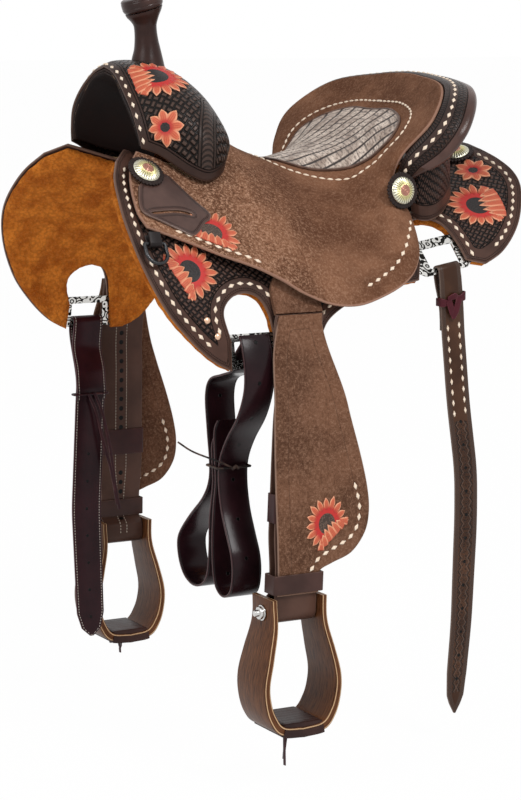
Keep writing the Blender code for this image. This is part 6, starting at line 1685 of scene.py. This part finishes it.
def buildStirrup(tag, side):
    s, h = stirrup, hanging
    y = h["ends"][tag][0] - h["setback"] - strapLeather / 2 - h["boltSpread"] / 2
    x = float(hang(tag, h["boltHeight"])[1])
    body = bodyOf("stirrup_" + tag)
    outer, inner = smooth(s["outer"], s["steps"]), smooth(s["inner"], s["steps"])
    outer, inner = (np.vstack([p, (p * (-1, 1))[-2::-1]]) for p in (outer, inner))
    wall = np.linalg.norm(outer - inner, axis=1)
    depth = s["depth"] / 2 * (.74 + .26 * ease((-.535 - outer[:, 1]) / .1))
    rings, layers = [], []
    for k in range(len(outer)):
        ring = bowRing(min(s["bevel"] / wall[k], .4), depth[k], s["bevel"])
        at = inner[k] + (outer[k] - inner[k]) * ring[:, :1]
        rings.append(np.column_stack([x + at[:, 0], side * y + ring[:, 1], at[:, 1]]))
        layers.append(ring[:, 0])
    n, m = len(rings), len(rings[0])
    uv = np.column_stack([np.repeat(walked(outer), m), np.concatenate([r[:, 1] for r in rings])])
    addMesh("stirrupBow_" + tag, np.vstack(rings), ringFaces(n, m), "walnut", "stirrup_" + tag, uv=uv,
        marks={"layer": np.concatenate(layers)})

    pivot = np.array([x, side * y, h["boltHeight"]])
    boltRows = [(.0038, -.0545), (.0046, -.0535), (.0046, -.049), (.0048, -.0486), (.0082, -.0484),
        (.0088, -.0478), (.0088, -.0442), (.0105, -.0438), (.0108, -.0432), (.0108, -.0425), (.0039, -.0423),
        (.0039, -.0336), (.0122, -.0335), (.0122, .0335), (.0039, .0336), (.0039, .0423), (.0106, .0425),
        (.0108, .0431), (.0104, .0438), (.0088, .044), (.0084, .0462), (.0062, .0482), (.002, .049)]
    spun("stirrupBolt_" + tag, boltRows, pivot, (1, 0, 0), 36, "steel", node="stirrup_bolt_" + tag)

    floor = smooth(s["inner"], s["steps"])[::-1]
    half = s["treadWidth"] / 2 - .004
    xs = np.linspace(-half, half, 41)
    low = np.interp(np.abs(xs), floor[:34, 0], floor[:34, 1]) + gapSize
    lip = .0012 * (1 - ease((half - np.abs(xs)) / .003))
    top = low.max() + .0028 - lip
    deep = s["depth"] / 2 - .001
    across = edged(-deep, deep, .004, .0012)
    roundIt = .0011 * (1 - ease((deep - np.abs(across)) / .0022))
    ribs = .00035 * np.sin(across / .0065 * 2 * math.pi)
    both = [np.stack(np.broadcast_arrays(x + xs, side * y + across[:, None], height), -1).reshape(-1, 3)
        for height in (top - roundIt[:, None] + ribs[:, None], low)]
    points, faces = closeSheet(*both, gridFaces(len(across), len(xs)))
    addMesh("treadLeather_" + tag, points, faces, "tread", "tread_" + tag,
        marks={"edge": np.full(len(points), .01)})

    k = np.flatnonzero((np.abs(outer[:, 0]) < s["treadWidth"] / 2) & (outer[:, 1] < -.69))
    rings = []
    for j in k:
        normal = unit(outer[j] - inner[j])
        a = outer[j] + normal * .0003
        b = outer[j] + normal * .0021
        c = inner[j] + (outer[j] - inner[j]) * .25
        d = depth[j]
        ring = np.array([(*c, d + .0002), (*a, d + .0002), (*a, -d - .0002), (*c, -d - .0002),
            (*c, -d - .0018), (*(a * .5 + c * .5), -d - .0021), (*b, -d - .0012), (*b, d + .0012),
            (*(a * .5 + c * .5), d + .0021), (*c, d + .0018)])
        rings.append(np.column_stack([x + ring[:, 0], side * y + ring[:, 2], ring[:, 1]]))
    n = len(rings)
    addMesh("treadWrap_" + tag, np.vstack(rings), ringFaces(n, 10), "tread", body=body,
        marks={"edge": np.full(n * 10, .01)})

    reach, drop = s["lace"][tag]
    sole = smooth(s["outer"], s["steps"])[::-1]
    foot = np.interp(abs(reach - .004), sole[:34, 0], sole[:34, 1]) - .0034
    lace = np.array([(-.012, 0), (-.004, 0), (.002, -.001), (.0045, -.008), (.005, -.5 * drop),
        (.0055, -drop)])
    for end, (shift, turn, cut) in enumerate(((0.0, 0.0, 1.0), (.004, .01, .9))):
        run = smooth(lace * (1, cut) + (shift, 0), 40)
        path = np.array([(x + reach + a, side * y - .6 * side * (deep - .001) + turn
            * ease(-b / max(drop, .01)), foot + b) for a, b in run])
        strap(f"treadLace_{tag}_{end}", path, (0, 1, 0), .0052, .0018, "burgundy", body=body,
            slotName="burgundy_leather", node=None if end else "tread_lace_" + tag)


for tag, side in sides:
    buildStirrup(tag, side)
print("stage: stirrups")


# Cinch straps

plates = {"front": (-.157, -.215, 0.0, .012), "rear": (.1755, -.104, .15, .008)}
plateLift, plateMetal, slotHalf, barClearance = -.0054, .003, .0262, .0011


def barAxis(spot, side):
    # middle and direction of a rigging plate's lower bar
    x, z, tilt = spot[:3]
    c, s = math.cos(tilt), math.sin(tilt)
    flat = np.array([(-slotHalf, 0.0), (slotHalf, 0.0), (0, 0)])
    ends = np.column_stack([x + flat[:, 0] * c - flat[:, 1] * s, z + flat[:, 0] * s + flat[:, 1] * c])
    found = skirtFace.nearest(ends, sideView)
    points = mirror(skirtFace.at(found[:, 0], found[:, 1], plateLift - plateMetal / 2), side)
    return points[2], unit(points[1] - points[0])


latigo = {"width": .045, "shift": -.0032, "tieZ": -.364, "tieSpan": (.188, .2205), "cord": .0016, "outRun":
    cmRows((27.9, -18.2), (28.5, -19.7), (29.1, -22.2), (28.9, -25.2), (27, -28.8), (23.9, -32.2),
    (22, -35.2), (21.6, -38.2), (22.4, -42), (24, -45.4), (25.3, -48), (25.6, -50.6), (24.8, -53),
    (22.8, -53.9), (20.8, -53), (19.9, -50.6), (19.7, -46.4), (20.1, -42), (20.7, -38.6), (20.5, -35.4),
    (20.3, -32.2), (20.2, -30.1)), "inRun": cmRows((24.9, -22.9), (22.2, -23.6), (19, -24.6), (17.8, -27),
    (18.3, -31.6), (19, -36), (18.7, -38.8), (16.8, -41.4), (13, -44.4), (10, -47.2), (9.2, -49),
    (9.8, -51.4), (11.4, -53.2), (14, -54), (16.6, -53.4), (18.2, -51.6), (18.8, -48), (18.9, -44),
    (19.4, -41.5), (19.9, -38.6), (19.7, -35.4), (19.4, -32.2))}


def buildLatigo(s):
    middle = barAxis(plates["front"], -1)[0]
    y, z = abs(middle[1]), middle[2]
    outRun, inRun = smooth(s["outRun"], 130), smooth(s["inRun"], 130)
    bridge = np.array([(outRun[0, 0] - .0035, outRun[0, 1] + .0042), (y + .0125, z + .03),
        (y + .005, z + .022), (y - .003, z + .014), (y - .0075, z + .003), (y - .0095, z - .006)])
    path = np.vstack([outRun[::-1], smooth(np.vstack([outRun[0], bridge, inRun[0]]), 40)[1:-1], inRun])
    points = np.column_stack([np.full(len(path), middle[0] + s["shift"]), -path[:, 0], path[:, 1]])
    body = bodyOf("latigo")
    width = np.full(len(points), s["width"])
    width[:5] *= (.72, .86, .94, .98, 1.0)
    width[-5:] *= (1.0, .98, .94, .86, .72)
    strap("latigoStrap", points, (1, 0, 0), width, strapLeather, "latigo", node="latigo")
    a, r = s["width"] / 2 + s["cord"] + 2 * gapSize, .003
    low, high = s["tieSpan"][0] - s["cord"] - 2 * gapSize, s["tieSpan"][1] + s["cord"] + 2 * gapSize
    x = middle[0] + s["shift"]
    loop = np.array([(x + dx, -at, s["tieZ"]) for dx, at in roundedLoop(a, low, high, r, 6)])
    tube("latigoTie", loop, s["cord"], 10, "tie", closed=True, node="latigo_tie")
    tail = smooth([(x - .006, -high - .0026, s["tieZ"] + .001), (x - .03, -high - .004, s["tieZ"] + .012),
        (x - .062, -high + .004, s["tieZ"] + .026), (x - .082, -high + .01, s["tieZ"] + .04)], 40)
    tube("latigoTieTail", tail, s["cord"] * .8, 8, "tie", body=body)
    knot = smooth([(x - .006, -high - .0022, s["tieZ"] - .002), (x - .001, -high - .0042, s["tieZ"] + .0025),
        (x + .004, -high - .0022, s["tieZ"] - .0015)], 16)
    tube("latigoTieKnot", knot, s["cord"] * 1.25, 10, "tie", body=body)


finishes["latigo"] = holedLeather("latigo leather", {"colour": (.021, .0065, .0085), "dark":
    (.009, .0035, .0045), "rub": (.1, .045, .045), "rough": .24, "holes": ((.05, .92, .055, .0026),),
    "crease": .0022})
buildLatigo(latigo)


def billetPath(spot, side, outerDrop, innerDrop, centre, endY):
    # through a plate's slot and round its bar: a short inner ply and a long outer one
    middle, axis = barAxis(spot, side)
    y, z = abs(middle[1]), middle[2]
    r = spot[3] / 2 + barClearance + strapLeather / 2
    turns = np.linspace(0, math.pi, 27)
    bend = np.column_stack([y + r * np.cos(turns), z + r * np.sin(turns)])
    outerZ = np.concatenate([np.linspace(z - .003, z - .011, 4), np.linspace(z - .012, outerDrop, 150)])
    innerZ = np.concatenate([np.linspace(z - .003, z - .011, 4), np.linspace(z - .012, innerDrop, 30)])
    coarseZ = np.linspace(z - .012, outerDrop, 17)
    outerY = y + r + (endY - y - r) * ease((z - outerZ) / .1)
    coarseY = y + r + (endY - y - r) * ease((z - coarseZ) / .1)
    innerY = y - r + (np.interp(-innerZ, -coarseZ, coarseY) - strapLeather - 2 * gapSize - y
        + r) * ease((z - .012 - innerZ) / .05)
    rows = np.vstack([np.column_stack([outerY, outerZ])[::-1], bend, np.column_stack([innerY, innerZ])])
    x = middle[0] + np.interp(-rows[:, 1], -centre[:, 1], centre[:, 0]) - np.interp(-z, -centre[:, 1],
        centre[:, 0])
    x = np.convolve(np.pad(x, 6, mode="edge"), np.full(13, 1 / 13), "valid")
    path = np.column_stack([x, side * rows[:, 0], rows[:, 1]])
    lean = ease((z - rows[:, 1]) / .06)[:, None]
    return path, unit(axis * (1 - lean) + np.array([1.0, 0, 0]) * lean)


offBillet = {"centre": cmRows((-15.7, -20), (-16.6, -32), (-17.4, -50), (-16.8, -66), (-16.5, -70)), "y":
    .236, "end": -.696, "width": cmRows((4.8, -20), (4.8, -50), (4.5, -66), (3.2, -68.4), (.6, -69.6))}
rearBillet = {"centre": cmRows((17.8, -10), (18.75, -16.7), (20, -30), (21.4, -40), (21.45, -47), (21.1, -55),
    (20.8, -62), (20, -70), (19.7, -75)), "width": .038, "ends": {"near": -.75, "far": -.7}, "y": .229}
finishes["offBillet"] = holedLeather("off billet leather", {"colour": (.032, .008, .011), "dark":
    (.015, .004, .006), "rub": (.12, .05, .055), "rough": .26, "holes": ((.03, .3, .042, .0022),), "thread":
    {"inset": .0032, "pitch": .0042, "colour": (.72, .62, .55)}})
finishes["rearBillet"] = holedLeather("rear billet leather", {"colour": (.08, .035, .018), "dark":
    (.04, .016, .008), "rub": (.26, .19, .155), "rough": .32, "holes": ((.05, .41, .034, .0024),), "scallops":
    (.03, .425, .0125), "thread": {"inset": .005, "pitch": .0042, "colour": (.01, .006, .005)}, "edging":
    (.0078, (.06, .036, .027))})


def buildBillets():
    s = offBillet
    path, across = billetPath(plates["front"], 1, s["end"], -.33, s["centre"], s["y"])
    width = np.interp(-path[:, 2], -s["width"][:, 1], s["width"][:, 0])
    body = bodyOf("off_billet")
    strap("offBilletStrap", path, across, width, strapLeather, "offBillet", node="off_billet")
    x, z, cord = float(np.interp(.322, -s["centre"][:, 1], s["centre"][:, 0])), -.322, latigo["cord"]
    y = s["y"] + strapLeather / 2 + 1.5 * gapSize + cord
    half, back = .048 / 2 + .004, s["y"] - strapLeather * 1.5 - 3.5 * gapSize - cord
    loop = np.array([(x + dx, at, z) for dx, at in roundedLoop(half, back, y, .0028, 6)])
    tube("offLace", loop, cord, 10, "burgundy", closed=True, node="off_lace")
    front = back - .0026
    tails = (((.004, 0.0, .002), (.016, -.002, -.03), (.028, -.003, -.085), (.038, -.002, -.15),
        (.045, 0.0, -.18)), ((-.006, 0.0, .001), (.006, -.002, -.028), (.016, -.002, -.07),
        (.03, -.003, -.12), (.041, 0.0, -.172)))
    for number, run in enumerate(tails):
        route = smooth([(x + a, front + b, z + c) for a, b, c in run], 60)
        strap(f"offLaceTail_{number}", route, unit(np.array([.93, 0.0, .3])), .0046, .0016, "burgundy",
            body=body, slotName="burgundy_leather")

    s = rearBillet
    for tag, side in sides:
        end = s["ends"][tag]
        rows = np.array([(s["width"], -.1), (s["width"], end + .25), (.033, end + .06), (.028, end + .026),
            (.019, end + .014), (.003, end)])
        path, across = billetPath(plates["rear"], side, end, -.195, s["centre"], s["y"])
        width = np.interp(-path[:, 2], -rows[:, 1], rows[:, 0])
        body = bodyOf("rear_billet_" + tag)
        strap("rearBilletStrap_" + tag, path, across, width, strapLeather, "rearBillet", node="rear_billet_"
            + tag)
        outer = path[:154][::-1]
        for number, shift in enumerate((-.0095, .0095)):
            z = -.192 - .0154 * np.arange(9) + .004 * number
            spots = np.column_stack([np.interp(-z, -outer[:, 2], outer[:, 0]) + shift,
                np.interp(-z, -outer[:, 2], outer[:, 1]) + side * strapLeather / 2, z])
            low = np.column_stack([np.interp(-z + .004, -outer[:, 2], outer[:, 0]) + shift, spots[:, 1], z
                - .004])
            tangents = unit(low - spots)
            stitchRow(f"billetStitches_{tag}_{number}", (spots, tangents,
                np.tile((0.0, side, 0.0), (len(z), 1))), dict(stitch, size=(.0098, .0042, .0013)), body=body)
        knotZ = -.154
        x = float(np.interp(-knotZ, -outer[:, 2], outer[:, 0]))
        y = side * (abs(float(np.interp(-knotZ, -outer[:, 2], outer[:, 1]))) + strapLeather / 2 + .0018)
        w = s["width"] / 2
        wraps = {"left": (.0118, (0, 0, 1), [(-w - .002, -.01, 0.0), (-w - .0016, -.001, 0.0),
            (-w * .75, .0012, -.001), (-w * .42, .0004, 0.0)]), "right": (.0125, (0, 0, 1),
            [(w + .002, -.01, .008), (w + .0016, -.001, .008), (w * .75, .0012, .006),
            (w * .42, .0004, .005)]), "bar": (.009, (0, 0, 1), [(-w * .5, .0006, .003), (0.0, .0026, .008),
            (w * .52, .0006, .006)]), "veeLeft": (.01, (.9, 0, .43), [(-w * .46, .002, .003),
            (-w * .22, .0026, -.01), (.001, .0006, -.0235)]), "veeRight":
            (.01, (.9, 0, -.43), [(w * .5, .0024, .006), (w * .24, .0034, -.008), (.001, .001, -.0235)])}
        for part, (wide, across, run) in wraps.items():
            route = smooth([(x + a, y + side * b, knotZ + c) for a, b, c in run], 22)
            widths = wide * (1 - .45 * ease((np.linspace(0, 1, 22) - .6) / .4))
            strap(f"billetKnot_{tag}_{part}", route, across, widths, .0024, "lace", body=body,
                slotName="burgundy_leather", rim=.45)


buildBillets()
print("stage: straps")


# Finishes for the nodes that stay, then rivets on the front skirts

shown = {"wood": ("tree_bar_near", "tree_bar_far", "ground_seat", "tree_cantle", "tree_fork", "horn_core"),
    "engraved": ("front_plate_near", "front_plate_far", "rear_plate_near", "rear_plate_far"), "suedeFender":
    ("stirrup_leather_near", "stirrup_leather_far"), "strapBrown":
    ("stirrup_leather_top_near", "stirrup_leather_top_far")}
for finish, names in shown.items():
    for name in names:
        frame["nodes"][name].data.materials.clear()
        frame["nodes"][name].data.materials.append(finishes[finish])

rivets = ((-.223, 7.5), (-.2095, 8.02))
rivetRows = ((.0046, -.0004), (.0048, .0004), (.0044, .001), (.0036, .0016), (.0022, .0021), (.0006, .0023))
for tag, side in sides:
    for number, (u, v) in enumerate(rivets):
        at, normal = skirtFace.at(u, v, 0.0)[0], skirtFace.normal(np.array([u]), np.array([v]))[0]
        spun(f"rivet_{tag}_{number}", rivetRows, mirror(at, side), mirror(normal, side), 28, "copper")


# Floor, light and world

studio = {"floorZ": -.792, "floorHalf": 60.0, "floorTone": .97, "worldLevel": .5, "key":
    {"spot": (.8, -4.6, 3.6), "aim": (0, 0, -.1), "size": 1.9, "power": 170}, "fill":
    {"spot": (-3.8, -1.6, 2.2), "aim": (0, 0, -.2), "size": 2.4, "power": 60}}


def buildStudio(s):
    half = s["floorHalf"]
    mesh = bpy.data.meshes.new("floor")
    mesh.from_pydata([(-half, -half, s["floorZ"]), (half, -half, s["floorZ"]), (half, half, s["floorZ"]),
        (-half, half, s["floorZ"])], [], [(0, 1, 2, 3)])
    floor = bpy.data.objects.new("floor", mesh)
    bpy.context.scene.collection.objects.link(floor)
    f = Finish("pale floor")
    mesh.materials.append(f.done((s["floorTone"],) * 3, .95, gloss=0.0))
    f.whiteToRays("ShaderNodeEmission", .98)
    for name in ("key", "fill"):
        lamp = s[name]
        data = bpy.data.lights.new(name, "AREA")
        data.shape = "DISK"
        data.size = lamp["size"]
        data.energy = lamp["power"]
        made = bpy.data.objects.new(name, data)
        made.location = lamp["spot"]
        made.rotation_euler = (Vector(lamp["aim"]) - Vector(lamp["spot"])).to_track_quat("-Z", "Y").to_euler()
        bpy.context.scene.collection.objects.link(made)
    world = Finish("studio", "worlds", "Background")
    bpy.context.scene.world = world.made
    world.put(world.shader.inputs[0], (1, 1, 1))
    world.put(world.shader.inputs[1], s["worldLevel"])
    world.whiteToRays("ShaderNodeBackground", 1.0)
    bpy.context.scene.view_settings.view_transform = "Standard"


buildStudio(studio)
print("stage: studio")
